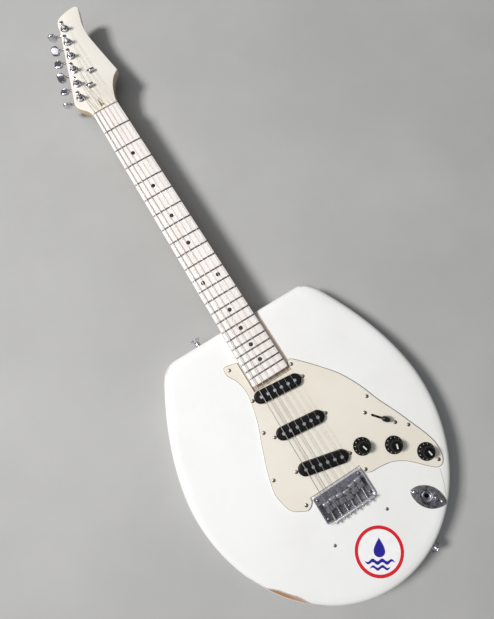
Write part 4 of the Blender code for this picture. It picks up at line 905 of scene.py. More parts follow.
def fretPiece(number, material):
    y = fretY(number)
    half, rings = halfNeck(y) - 0.0002, []
    for k in range(17):
        side = -1 + k / 8
        low = 0.7 if k in (0, 16) else 1.0
        x, ring = half * side, []
        for i in range(9):
            angle = pi * i / 8
            ring.append((x - side * (1 - low) * 0.001 * sin(angle), y + fret["wide"] / 2 * cos(angle),
                         boardTop - sag(x) + fret["rise"] * low * sin(angle) ** 0.8 - 0.00005))
        rings.append([(x, y + fret["wide"] / 2, boardTop - sag(x) - fret["sink"])] + ring
                     + [(x, y - fret["wide"] / 2, boardTop - sag(x) - fret["sink"])])
    return finishPiece(loftPiece("fret_%02d" % number, rings), material, angle=50)


def boardMaterial():
    material, tree, shader, spot = newMaterial("paleBoard", 0.42)
    grain = useGroup(tree, "grain", {"Vector": spot, "Scale": 150.0, "Warp": 0.2})
    streak = softStep(tree, grain.outputs["Streak"], 0.40, 0.62)
    colour = blendColour(tree, streak, (0.82, 0.775, 0.745), (0.75, 0.69, 0.65))
    light = patchMask(tree, spot, 30.0, 0.4, 0.7)
    colour = blendColour(tree, times(tree, light, 0.5), colour, (0.85, 0.815, 0.79))
    colour = blendColour(tree, times(tree, grain.outputs["Pores"], 0.25), colour, (0.45, 0.36, 0.30))
    paint(tree, shader, colour, blendValue(tree, streak, 0.34, 0.5))
    bumpTo(tree, shader, grain.outputs["Streak"], 0.00004)
    return material


def makeBoard():
    end = neck["boardEnd"]
    rings = [boardRing(nutY - 0.0003, 0)] + [boardRing(nutY - 0.0003 - 0.02 * k, 0) for k in range(1, 24)]
    rings += [boardRing(end + 0.002, 0), boardRing(end + 0.0007, 0.0003), boardRing(end, 0.0014, 0.0003)]
    board = loftPiece("board", rings)
    finishPiece(board, boardMaterial(), stands=("fingerboard",), angle=30)
    metal = simpleFinish("fretWire", (0.23, 0.22, 0.22), (0.36, 0.34, 0.33), 0.3, 1.0, 300.0, 0.2, 0.4)
    for number in range(1, fret["count"] + 1):
        fretPiece(number, metal)
    ink = simpleFinish("dotBlack", (0.012, 0.011, 0.011), (0.03, 0.028, 0.026), 0.35, 0.0, 200.0, 0.1)
    first = turnPiece("dot", [(0, -0.0012), (dots["radius"], -0.0012), (dots["radius"], 0.00005),
                              (dots["radius"] - 0.0003, 0.00012), (0, 0.00012)], 32)
    count = 0
    for number in dots["frets"]:
        y = (fretY(number) + fretY(number - 1)) / 2
        for x in ((-dots["spread"], dots["spread"]) if number == 12 else (0,)):
            count += 1
            dot = copyPiece(first, "dot_%02d" % count, at(x, y, boardTop - sag(x)) @ spun(x / 0.241, "Y"))
            finishPiece(dot, ink)
    scrap(first)
    print("fingerboard made")


nut = {"margin": 0.0035, "rise": 0.0022, "end": 0.0013, "action": 0.0014, "clear": 0.0003}
gauges = (0.00107, 0.00086, 0.00066, 0.00046, 0.00034, 0.00028)


def nutX(i):
    return (i - 2.5) * (neck["nutWidth"] - 2 * nut["margin"]) / 5


def makeNut():
    half, bottom = neck["nutWidth"] / 2, neckTop + fitGap
    outline = [(-half, bottom), (half, bottom), (half, boardTop - sag(half) + nut["end"] - 0.0004),
               (half - 0.0006, boardTop - sag(half) + nut["end"])]
    for i in reversed(range(6)):
        x, r = nutX(i), gauges[i] / 2 + nut["clear"]
        top, floor = boardTop - sag(x) + nut["rise"], boardTop - sag(x) + nut["action"] - nut["clear"]
        outline += [(x + r + 0.0001, top), (x + r, floor + r)]
        outline += [(x + r * cos(pi * k / 6), floor + r - r * sin(pi * k / 6)) for k in range(1, 6)]
        outline += [(x - r, floor + r), (x - r - 0.0001, top)]
    outline += [(-half + 0.0006, boardTop - sag(half) + nut["end"]),
                (-half, boardTop - sag(half) + nut["end"] - 0.0004)]
    piece = loftPiece("nutBone", [[(x, nutY + y, z) for x, z in outline] for y in (0, neck["nutLong"])])
    softenEdges(piece, 0.0002, 2, 60)
    bone = simpleFinish("bone", (0.80, 0.76, 0.66), (0.70, 0.64, 0.52), 0.35, 0.0, 250.0, 0.2, 0.2)
    finishPiece(piece, bone, stands=("nut",), angle=30)
    print("nut made")


# Screws: modelled once, then copied to every place
screw = {"head": 0.0027, "rise": 0.0011, "shank": 0.0013, "cross": 0.00055, "reach": 0.0017}
metalLooks = {"chrome": ("chrome", (0.82, 0.82, 0.87), (0.58, 0.57, 0.63), 0.15, 1.0, 140.0, 0.2, 0.5),
              "bridge": ("agedChrome", (0.56, 0.55, 0.61), (0.20, 0.19, 0.23), 0.36, 0.75, 620.0, 0.3, 0.9),
              "plate": ("darkChrome", (0.44, 0.44, 0.47), (0.10, 0.10, 0.115), 0.28, 0.85, 230.0, 0.3, 0.9),
              "steel": ("stringSteel", (0.80, 0.79, 0.77), (0.62, 0.60, 0.57), 0.34, 1.0, 300.0, 0.2, 0.3),
              "screw": ("screwSteel", (0.40, 0.36, 0.31), (0.19, 0.16, 0.12), 0.38, 1.0, 900.0, 0.3, 0.3),
              "dark": ("darkScrew", (0.24, 0.23, 0.24), (0.09, 0.085, 0.09), 0.34, 0.9, 600.0, 0.2, 0.4),
              "pole": ("poleSteel", (0.50, 0.50, 0.54), (0.34, 0.33, 0.36), 0.36, 0.9, 700.0, 0.2, 0.4),
              "brass": ("brassNut", (0.66, 0.58, 0.36), (0.50, 0.42, 0.24), 0.38, 0.7, 500.0, 0.2, 0.3)}
metals = {}


def crossHead(name, head, rise, long):  # a domed cross-head screw, its seat at the origin
    shank = screw["shank"]
    profile = [(0, -long), (shank * 0.3, -long), (shank, -long + 0.002), (shank, -0.0001), (head, -0.0001),
               (head, rise * 0.18)]
    profile += [(head * cos(a), rise * (0.18 + 0.82 * sin(a))) for a in (0.3, 0.6, 0.9, 1.2, 1.4)]
    piece = turnPiece(name, profile + [(0, rise)], 24)
    wide, reach = screw["cross"] / 2, screw["reach"] * head / screw["head"] / 2
    top, floor = rise + 0.0003, rise * 0.25
    arms = [(wide, wide), (wide, reach), (-wide, reach), (-wide, wide), (-reach, wide), (-reach, -wide),
            (-wide, -wide), (-wide, -reach), (wide, -reach), (wide, -wide), (reach, -wide), (reach, wide)]
    rings = [[(x * share, y * share, z) for x, y in arms] for share, z in ((0.7, floor), (1.05, top))]
    carve(piece, [loftPiece("cross", rings)])
    return piece


def crossRecess(piece, long, wide, low, high):
    for width, depth in ((long, wide), (wide, long)):
        carve(piece, [slabPiece("cross", boxOutline(0, 0, width, depth), low, high)])


def metalFinish(kind):
    if kind not in metals:
        metals[kind] = simpleFinish(*metalLooks[kind])
    return metals[kind]


def setScrews(kind, places, label, pattern):
    for i, place in enumerate(places, 1):
        twist = spun(0.7 + i * 1.3)
        finishPiece(copyPiece(pattern, "%s_%02d" % (label, i), place @ twist), metalFinish(kind))


# Pickguard, and the bridge's measures, which its outline needs
guard = {"thick": 0.0023, "bevel": 0.0011, "clear": 0.0015, "strip": 0.006, "seam": 0.0006,
         "cream": (0.735, 0.70, 0.618), "warm": (0.70, 0.648, 0.555), "edgeShade": (0.13, 0.12, 0.10)}
# bridge "dark": how far behind the saddle crowns the painted shade on the tray floor starts
bridge = {"pitch": 0.0104, "floor": 0.0022, "rim": 0.0045, "rimWide": 0.0028, "wall": 0.002,
          "setback": 0.0006, "holeRise": 0.0042, "screwRise": 0.005, "shoulder": 0.00755, "saddleLong": 0.015,
          "nose": 0.0015, "plate": 0.0018, "slope": 0.20, "lip": 0.004, "crownInset": 0.009, "dark": 0.0045,
          "compensation": (0.0040, 0.0025, 0.0035, 0.0045, 0.0015, 0.0), "action": 0.0045, "gap": 0.0009}
guardTop = seatTop + guard["thick"]
trayLow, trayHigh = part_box("bridge_tray")[0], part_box("bridge_tray")[1]
bridgeHalf = 3 * bridge["pitch"] + bridge["shoulder"]
bridgeFront = trayHigh.y
crownFront = bridgeFront - bridge["crownInset"]
bridgeRear = bridgeFront - (bridge["crownInset"] + max(bridge["compensation"]) + bridge["saddleLong"]
                            + 0.0125)
trayFloor = seatTop + bridge["floor"]
screwLine = seatTop + bridge["screwRise"]
holeLine = screwLine + bridge["holeRise"]


def guardOutline():
    notch = halfNeck(neck["boardEnd"]) + guard["clear"]
    horn = neck["boardEnd"] - guard["strip"]
    front, side = bridgeFront + guard["seam"], bridgeHalf + guard["seam"]
    points = [(-notch, horn), (notch, horn), (notch, horn + 0.0085), (0.0372, horn + 0.0131),
              (0.0528, 0.1010), (0.0691, 0.0828), (0.0861, 0.0614), (0.1011, 0.0331), (0.1120, 0.0040),
              (0.1236, -0.0211), (0.1351, -0.0494), (0.1431, -0.0702), (0.1472, -0.0884), (0.1450, -0.1060),
              (0.1390, -0.1145), (0.1300, -0.1152), (0.1203, -0.1075), (0.1081, -0.0951), (0.0952, -0.0840),
              (0.0800, -0.0765), (0.0640, -0.0736), (side + 0.0095, front - 0.0150),
              (side + 0.0025, front - 0.0110), (side, front - 0.0060), (side, front), (-side, front),
              (-side - 0.002, front - 0.0066), (-side - 0.011, front - 0.0121), (-0.0610, -0.0650),
              (-0.0723, -0.0563), (-0.0783, -0.0363), (-0.0780, -0.0213), (-0.0712, 0.0048),
              (-0.0621, 0.0301), (-0.0557, 0.0470), (-0.0492, 0.0640), (-0.0428, 0.0890),
              (-0.0405, horn + 0.0076), (-0.0445, horn + 0.0248), (-0.0515, horn + 0.0375),
              (-0.0520, horn + 0.0470), (-0.0475, horn + 0.0515), (-notch, horn + 0.0470)]
    return outlineThrough(points, (0, 1, 2, 23, 24, 25, 42), 7)


def guardScrews():
    horn = neck["boardEnd"] - guard["strip"]
    return ((0.1006, 0.0153), (0.1285, -0.0472), (0.1375, -0.1072),
            (bridgeHalf + 0.0058, bridgeFront - 0.0072), (-0.0497, -0.0620), (-0.0702, -0.0117),
            (-0.0487, 0.0485), (0.0345, horn + 0.0055), (-0.0450, horn + 0.0435))


def guardMaterial():
    material, tree, shader, spot = newMaterial("creamGuard", 0.33)
    z = axes(tree, spot)[2]
    patches = patchMask(tree, spot, 14.0, 0.35, 0.75)
    marks = scratchMask(tree, spot, 55.0, 0.5)
    dust = speckMask(tree, spot, 500.0, 0.52)
    colour = blendColour(tree, patches, guard["cream"], guard["warm"])
    colour = blendColour(tree, times(tree, dust, 0.3), colour, (0.40, 0.33, 0.25))
    # painted shade: a dark band round the bevel stands for the shadow line along the guard's edge
    edgeShade = windowMask(tree, z, guardTop - 0.00085, guardTop - 0.00030, 0.00004)
    colour = blendColour(tree, edgeShade, colour, guard["edgeShade"])
    paint(tree, shader, colour, plus(tree, blendValue(tree, patches, 0.28, 0.4), times(tree, marks, 0.2)))
    bumpTo(tree, shader, minus(tree, patches, marks), 0.00002)
    return material


def makeGuard():
    piece = slabPiece("pickguardSheet", guardOutline(), seatTop, guardTop, guard["bevel"], 1)
    low, high = lidTop - 0.001, guardTop + 0.001
    holes = [slabPiece("hole", slotOutline(x, y, pickups["coverLong"] + 2 * pickups["gap"],
                                           pickups["coverWide"] + 2 * pickups["gap"], turn), low, high)
             for _, x, y, turn in pickupPlaces()]
    spot = middleOf("selector_switch")
    holes.append(slabPiece("hole", slotOutline(spot.x, spot.y, 0.0257, 0.0034,
                                               radians(controls["switchTurn"])), low, high))
    carve(piece, holes)
    finishPiece(piece, guardMaterial(), stands=("pickguard",), angle=30)
    pattern = crossHead("guardScrew", screw["head"], screw["rise"], 0.010)
    setScrews("screw", [at(x, y, guardTop - 0.0002) for x, y in guardScrews()], "guard_screw", pattern)
    setScrews("screw", [at(x, y, guardTop + 0.0002) for x, y in switchScrews()], "switch_screw", pattern)
    scrap(pattern)
    print("pickguard made")


# Pickups: cover, six poles, two height screws, coil and flatwork
def makePickups():
    black = simpleFinish("pickupBlack", (0.005, 0.005, 0.005), (0.011, 0.010, 0.010), 0.34, 0.0, 120.0, 0.05,
                         0.3, Specular_IOR_Level=0.12)
    copper = simpleFinish("coilWire", (0.30, 0.11, 0.045), (0.20, 0.07, 0.03), 0.4, 0.7, 900.0)
    pattern = crossHead("heightScrew", screw["head"] * 0.93, screw["rise"], 0.009)
    radius, rise = pickups["poleRadius"], pickups["poleProud"]
    for name, x, y, turn in pickupPlaces():
        low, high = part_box("pickup_cover_" + name)
        long, wide = pickups["coverLong"], pickups["coverWide"]
        cover = slabPiece("cover_" + name, slotOutline(x, y, long, wide, turn), low.z, high.z,
                          pickups["round"], 4)
        wall = pickups["wall"]
        poles = [(x + (i - 2.5) * pickups["polePitch"] * cos(turn),
                  y + (i - 2.5) * pickups["polePitch"] * sin(turn)) for i in range(6)]
        inner = slabPiece("inner", slotOutline(x, y, long - 2 * wall, wide - 2 * wall, turn), low.z - 0.001,
                          high.z - wall)
        carve(cover, [inner])
        carve(cover, [slabPiece("poleHole", discOutline(px, py, radius + 0.0002, 24), high.z - 0.003,
                                high.z + 0.001) for px, py in poles])
        finishPiece(cover, black, stands=("pickup_cover_" + name,))
        coil = slabPiece("coil", slotOutline(x, y, long - 2 * wall - 0.001, wide - 2 * wall - 0.001, turn),
                         low.z - 0.0005, high.z - wall - 0.0004)
        plate = slabPiece("plate", slotOutline(x, y, 0.0841, wide - 0.002, turn), low.z - 0.0021,
                          low.z - 0.0003)
        carve(coil, [plate], "UNION")
        finishPiece(coil, copper, stands=("pickup_coil_" + name,))
        pole = turnPiece("pole", [(0, -0.006), (radius, -0.006), (radius, rise - 0.0003),
                                  (radius - 0.0003, rise), (0, rise)], 32)
        for i, (px, py) in enumerate(poles, 1):
            finishPiece(copyPiece(pole, "pole_%s_%d" % (name, i), at(px, py, high.z)), metalFinish("pole"))
        scrap(pole)
        setScrews("screw", [at(sx, sy, guardTop + fitGap)
                            for sx, sy in bothSides(x, y, pickups["screwReach"], turn)],
                  "height_screw_" + name, pattern)
    scrap(pattern)
    print("pickups made")


# Bridge: tray, rear wall, saddles, screws and springs
def crownY(i):
    return crownFront - bridge["compensation"][i]


def saddleX(i):
    return (i - 2.5) * bridge["pitch"]


def crownZ(i):
    return boardTop + bridge["action"] - sag(saddleX(i)) + gauges[i] / 2


def hexSocket(radius, top, deep):
    return slabPiece("socket", discOutline(0, 0, radius, 6), top - deep, top + 0.0004)


def trayMaterial():  # aged plating, speckled, with a painted highlight along the front lip, the side rims and the rear wall's top, and painted shade on the floor behind the saddle crowns
    material, tree, shader, spot = newMaterial("trayPlating", 0.38)
    _, y, z = axes(tree, spot)
    patches = patchMask(tree, spot, 620.0, 0.36, 0.64)
    marks = scratchMask(tree, spot, 700.0, 0.9)
    colour = blendColour(tree, patches, (0.58, 0.57, 0.64), (0.24, 0.23, 0.28))
    # painted highlight: the front lip and the tops of the rims and rear wall are painted bright
    front = isAbove(tree, y, bridgeFront - 0.0024)
    high = isAbove(tree, z, lidTop + bridge["rim"] - 0.0002)
    paintedHighlight = maths(tree, "MAXIMUM", front, times(tree, high, 0.55))
    colour = blendColour(tree, paintedHighlight, colour, (0.84, 0.83, 0.84))
    # painted shade: the tray floor behind the saddle crowns is painted near black
    under = times(tree, isBelow(tree, y, crownFront - bridge["dark"]), isBelow(tree, z, trayFloor + 0.0005))
    colour = blendColour(tree, times(tree, under, 0.8), colour, (0.03, 0.028, 0.032))
    tree.links.new(blendValue(tree, paintedHighlight, 0.72, 0.30), shader.inputs["Metallic"])
    paint(tree, shader, colour, plus(tree, blendValue(tree, patches, 0.30, 0.46), times(tree, marks, 0.15)))
    bumpTo(tree, shader, minus(tree, patches, marks), 0.00003)
    return material


def makeBridge():
    y = (bridgeFront + bridgeRear) / 2
    long, low, rim = bridgeFront - bridgeRear, seatTop, seatTop + bridge["rim"]
    tray = slabPiece("tray", boxOutline(0, y, 2 * bridgeHalf, long, 0.004, 8), low, rim)
    selectFaces(tray, lambda face: face.center.z > rim - 1e-5)
    openMesh(tray, "FACE")
    bpy.ops.mesh.inset(thickness=bridge["rimWide"])
    bpy.ops.transform.translate(value=(0, 0, trayFloor - rim))
    closeMesh()
    softenEdges(tray, 0.0007, 3, 40)
    wallY = bridgeRear + bridge["setback"] + bridge["wall"] / 2
    wall = slabPiece("wall", boxOutline(0, wallY, 2 * bridgeHalf - 0.009, bridge["wall"]), low + 0.001,
                     holeLine + 0.0021)
    softenEdges(wall, 0.0003, 2)
    holes = [placePiece(rodPiece("hole", gauges[i] / 2 + 0.0004, -0.003, 0.003, 16),
                        alongY(saddleX(i), wallY, holeLine)) for i in range(6)]
    holes += [placePiece(rodPiece("hole", 0.0015, -0.003, 0.003, 16), alongY(saddleX(i), wallY, screwLine))
              for i in range(6)]
    carve(wall, holes)
    plating = trayMaterial()
    finishPiece(tray, plating, stands=("bridge_tray",), angle=40)
    finishPiece(wall, plating, angle=40)
    front = bridgeFront - bridge["rimWide"] - 0.0042
    rear = bridgeRear + bridge["setback"] + bridge["wall"] + 0.0038
    side = 3 * bridge["pitch"] + (bridge["shoulder"] - bridge["rimWide"]) / 2
    pattern = crossHead("trayScrew", 0.0023, screw["rise"], 0.010)
    setScrews("dark", [at(sx, sy, trayFloor - 0.0001) for sx, sy in
                        ((-side, front), (side, front), (-side, rear), (0.0, rear), (side, rear))],
              "tray_screw", pattern)
    scrap(pattern)
    for i in range(6):
        makeSaddle(i, wallY)
    print("bridge made")


def makeSaddle(i, wallY):
    number, t, nose = i + 1, bridge["plate"], bridge["nose"]
    top = crownZ(i) - gauges[i] / 2 - 0.0003 - screwLine
    foot, rear = trayFloor + fitGap - screwLine, nose - bridge["saddleLong"]
    low = top + bridge["slope"] * rear
    outline = [(nose, top - bridge["lip"]), (nose, top - 0.0016), (nose - 0.0002, top - 0.0008),
               (nose - 0.0007, top - 0.0002), (nose - 0.0013, top), (-0.001, top - 0.0001),
               (rear + 0.0016, low + 0.0002), (rear + 0.0006, low - 0.0002), (rear, low - 0.0010),
               (rear, foot), (rear + t, foot), (rear + t, low - t), (-0.0006, top - t - 0.0003),
               (nose - t, top - bridge["lip"])]
    half = (bridge["pitch"] - bridge["gap"]) / 2
    piece = loftPiece("saddle", [[(x, y, z) for y, z in outline] for x in (-half, half)])
    softenEdges(piece, 0.0003, 2, 50)
    groove = gauges[i] / 2 + 0.0002
    cutters = [placePiece(rodPiece("groove", groove, -0.004, 0.004, 20), alongY(0, 0, top + groove * 0.8))]
    cutters.append(placePiece(rodPiece("bore", 0.0016, -0.002, 0.004, 20), alongY(0, rear, 0)))
    cutters += [placePiece(rodPiece("bore", 0.0015, -0.003, 0.003, 20), at(sx * 0.0033, -0.0045, top - 0.002))
                for sx in (-1, 1)]
    carve(piece, cutters)
    place, rider = at(saddleX(i), crownY(i), screwLine), "saddle_%d_block" % number
    placePiece(piece, place)
    piece.name = "saddleBlock_%d" % number
    finishPiece(piece, metalFinish("bridge"), rider, ("saddle_%d" % number,), 40)
    legTop = top - 0.0008
    for sx in (-1, 1):
        leg = turnPiece("leg", [(0, foot), (0.0009, foot), (0.0014, foot + 0.0006), (0.0014, legTop - 0.0002),
                                (0.0012, legTop), (0, legTop)], 20)
        carve(leg, [hexSocket(0.0008, legTop, 0.0012)])
        placePiece(leg, place @ at(sx * 0.0033, -0.0045))
        leg.name = "heightLeg_%d_%s" % (number, "left" if sx < 0 else "right")
        finishPiece(leg, metalFinish("dark"), rider)
    tip = crownY(i) + nose - bridge["saddleLong"] + 0.0063 - bridgeRear
    shank = turnPiece("shank", [(0, -0.0021), (0.0015, -0.0021), (0.0020, -0.0014), (0.0020, 0.0006),
                                (0.0013, 0.0009), (0.0013, tip - 0.0005), (0.0009, tip), (0, tip)], 20)
    crossRecess(shank, 0.0026, 0.0005, -0.003, -0.0013)
    placePiece(shank, alongY(saddleX(i), bridgeRear, screwLine))
    shank.name = "lengthScrew_%d" % number
    finishPiece(shank, metalFinish("steel"))
    start, end = wallY + bridge["wall"] / 2 + 0.0003, crownY(i) + rear - 0.0003
    turns, points = 7, []
    for k in range(turns * 12 + 1):
        angle, share = tau * k / 12, k / (turns * 12)
        points.append((saddleX(i) + 0.00185 * cos(angle), start + (end - start) * share,
                       screwLine + 0.00185 * sin(angle)))
    spring = wirePiece("saddleSpring_%d" % number, points, 0.00028, 1)
    finishPiece(spring, metalFinish("pole"), angle=60)
    spring.parent = None
    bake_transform(spring)


# Strings
strings = {"level": 0.0035, "turns": 2, "points": 24, "gap": 0.0005, "wrapStart": 0.0052, "waist": 0.0024}
trees = {"places": ((-0.0015, 0.050), (0.0115, 0.072)), "bar": 0.0035, "size": (0.0125, 0.0042, 0.0020)}


def stringRoute(i):
    r, x = gauges[i] / 2, saddleX(i)
    ball = bridgeRear + bridge["setback"] - 0.0003
    leave = nutY + neck["nutLong"] + 0.0008
    nutZ = boardTop - sag(nutX(i)) + nut["action"] + r
    behind = crownY(i) - strings["level"]
    route = [(x, ball + 0.0002, holeLine), (x, ball + 0.0035, holeLine),
             (x, behind - 0.0008, crownZ(i) - 0.00015), (x, behind, crownZ(i)), (x, crownY(i), crownZ(i)),
             (nutX(i), nutY - 0.0008, nutZ), (nutX(i), leave, nutZ)]
    post, radius = postPlace(i), strings["waist"] + r + 0.0005
    start = headFace + strings["wrapStart"] + r
    wrap = []
    for k in range(strings["turns"] * strings["points"] + 1):
        angle = tau * k / strings["points"]
        wrap.append((post.x + radius * cos(angle), post.y + radius * sin(angle),
                     start + (gauges[i] + strings["gap"]) * k / strings["points"]))
    for treeX, treeY in trees["places"]:
        share = (nutY + treeY - leave) / (wrap[0][1] - leave)
        through = nutX(i) + (wrap[0][0] - nutX(i)) * share
        if abs(through - treeX) < trees["size"][0] / 2:
            route += [(through, nutY + treeY + step, headFace + trees["bar"] - 0.0003 - r)
                      for step in (-0.003, 0.003)]
    return route + wrap


def makeStrings():
    wound = simpleFinish("woundSteel", (0.68, 0.65, 0.61), (0.48, 0.45, 0.41), 0.42, 1.0, 900.0, 0.2, 0.2)
    for i in range(6):
        wire = wirePiece("wire", stringRoute(i), gauges[i] / 2, 2)
        ball = turnPiece("ball", [(0.0004, -0.003), (0.0014, -0.003), (0.0016, -0.0026), (0.0012, -0.0016),
                                  (0.0012, -0.0012), (0.0016, -0.0004), (0.0014, 0), (0.0004, 0),
                                  (0.0004, -0.003)], 20)
        placePiece(ball, alongY(saddleX(i), bridgeRear + bridge["setback"] - 0.0003, holeLine))
        piece = joinPieces("string%d" % (i + 1), [wire, ball])
        finishPiece(piece, wound if i < 3 else metalFinish("steel"), stands=("string_%d" % (i + 1),),
                    angle=60)
    print("strings made")


# Tuners: housing under the head, sleeve with a hex nut above it, post, worm shaft and key
tuner = {"long": 0.0185, "wide": 0.018, "shift": 0.001, "deep": 0.0112, "sleeve": 0.0048, "nutWide": 0.0066,
         "nutHigh": 0.0032, "postHigh": 0.0145, "radius": 0.003, "waist": 0.0024, "slit": 0.0011,
         "wormOffset": 0.0071, "keyReach": 0.0265, "keyWide": 0.0165, "keyLong": 0.0135, "keyThick": 0.0062,
         "turns": (78, 20, 135, 8, 155, 90)}


def superRing(width, thick, power, z, steps=40):
    ring = []
    for k in range(steps):
        a, b = cos(tau * k / steps), sin(tau * k / steps)
        ring.append((width / 2 * copysign(abs(a) ** (2 / power), a),
                     thick / 2 * copysign(abs(b) ** (2 / power), b), z))
    return ring


def keyPattern():
    start, long = tuner["keyReach"] - tuner["keyLong"] / 2, tuner["keyLong"]
    rings = []
    for share, width, thick in ((0.0, 0.22, 0.5), (0.02, 0.34, 0.66), (0.10, 0.66, 0.90), (0.22, 0.88, 0.98),
                                (0.40, 0.99, 1.0), (0.58, 0.98, 0.98), (0.75, 0.90, 0.92), (0.88, 0.78, 0.80),
                                (0.96, 0.66, 0.62), (1.0, 0.52, 0.36)):
        rings.append(superRing(tuner["keyWide"] * width, tuner["keyThick"] * thick, 2.5,
                               start + long * share))
    wing = loftPiece("wing", rings)
    collar = tuner["long"] / 2 + tuner["shift"] + 0.0003
    shaft = turnPiece("keyShaft", [(0, -0.0058), (0.0018, -0.0058), (0.0022, -0.0054), (0.0022, collar),
                                   (0.0030, collar), (0.0032, collar + 0.0002), (0.0032, collar + 0.0012),
                                   (0.0030, collar + 0.0014), (0.0022, collar + 0.0016),
                                   (0.0019, collar + 0.0026), (0.0020, start - 0.0008),
                                   (0.0026, start + 0.0002), (0.0026, start + 0.002), (0, start + 0.002)], 28)
    return wing, shaft


def makeTuners():
    top = headBack - fitGap
    bottom, seat = top - tuner["deep"], headFace + fitGap
    wing, shaft = keyPattern()
    box = slabPiece("housing", boxOutline(0, 0, tuner["long"], tuner["wide"], 0.0022, 4), -tuner["deep"], 0.0)
    softenEdges(box, 0.0014, 3, 60)
    boss = turnPiece("boss", [(0, -0.0004), (0.0055, -0.0004), (0.0055, 0), (0.0051, 0.0005), (0, 0.0005)],
                     32)
    nutOutline = discOutline(0, 0, tuner["nutWide"], 6)
    washer = turnPiece("washer", [(0.0034, 0), (0.0066, 0), (0.0066, 0.0006), (0.0062, 0.0009),
                                  (0.0034, 0.0009), (0.0034, 0)], 36)
    hexNut = slabPiece("hexNut", [(x * 0.86, y * 0.86) for x, y in nutOutline], 0.0007,
                       tuner["nutHigh"] - 0.0002)
    softenEdges(hexNut, 0.0004, 2, 50)
    collar = turnPiece("sleeve", [(0.0034, -0.0148), (tuner["sleeve"], -0.0148), (tuner["sleeve"], 0.0015),
                                  (0.0044, tuner["nutHigh"]), (0.0034, tuner["nutHigh"]), (0.0034, -0.0148)],
                       32)
    carve(hexNut, [rodPiece("hole", 0.0042, -0.01, 0.01, 32)])
    post = postPattern()
    for i in range(6):
        number, spot = i + 1, postPlace(i)
        frameTurn = spun(pi - posts["lean"])
        under = spot + alongPosts * (tuner["wormOffset"] / 2) + keyward * tuner["shift"]
        housing = copyPiece(box, "housing_%d" % number, at(under.x, under.y, top) @ frameTurn)
        low = copyPiece(boss, "boss", at(spot.x, spot.y, bottom) @ spun(pi, "X"))
        carve(housing, [low], "UNION")
        worm = spot + alongPosts * tuner["wormOffset"] + Vector((0, 0, top - tuner["deep"] / 2))
        wormFrame = Matrix.Translation(worm) @ keyward.to_track_quat("Z", "Y").to_matrix().to_4x4()
        tunnel = rodPiece("tunnel", 0.0025, -0.0062, 0.02, 24)
        placePiece(tunnel, wormFrame)
        carve(housing, [tunnel])
        finishPiece(housing, metalFinish("chrome"), stands=("tuner_housing_%d" % number,))
        bushing = joinPieces("bushing_%d" % number,
                             [copyPiece(piece, "part", at(spot.x, spot.y, seat) @ spun(0.4 + 0.9 * i))
                              for piece in (washer, hexNut, collar)])
        finishPiece(bushing, metalFinish("chrome"), angle=32)
        finishPiece(copyPiece(post, "stringPost_%d" % number, at(spot.x, spot.y) @ spun(0.6 * i)),
                    metalFinish("chrome"), "tuning_post_%d" % number, ("tuner_post_%d" % number,))
        turn = spun(radians(tuner["turns"][i]))
        key = joinPieces("tunerKey_%d" % number, [copyPiece(wing, "part", wormFrame @ turn),
                                                  copyPiece(shaft, "part", wormFrame)])
        finishPiece(key, metalFinish("chrome"), "tuning_key_%d" % number, ("tuner_key_%d" % number,),
                    50)
    for pattern in (wing, shaft, box, boss, washer, hexNut, collar, post):
        scrap(pattern)
    print("tuners made")


def postPattern():
    top, waist = headFace + tuner["postHigh"], headFace + strings["wrapStart"] - 0.0008
    wheelLow, wheelHigh = headBack - fitGap - tuner["deep"] + 0.0024, headBack - fitGap - 0.0016
    wide, thin = tuner["radius"], tuner["waist"]
    profile = [(0, wheelLow - 0.0003), (0.0042, wheelLow - 0.0003), (0.0046, wheelLow + 0.0003),
               (0.0046, wheelHigh), (wide, wheelHigh), (wide, waist), (thin + 0.0002, waist + 0.0005),
               (thin, waist + 0.0010), (thin, top - 0.0042), (thin + 0.0003, top - 0.0036),
               (wide, top - 0.0030), (wide, top - 0.0006), (wide - 0.0002, top - 0.0002),
               (wide - 0.0006, top), (0, top)]
    piece = turnPiece("post", profile, 32)
    carve(piece, [slabPiece("slit", boxOutline(0, 0, tuner["slit"], 0.010), top - 0.0022, top + 0.001)])
    return piece


# Knobs with their numbers
knob = {"radius": 0.0125, "high": 0.0150, "gap": 0.0008, "bush": 0.0055, "ribs": 24, "digit": 0.0026,
        "ring": 0.0104, "headings": (-77, -108, -81), "numbers": 240}


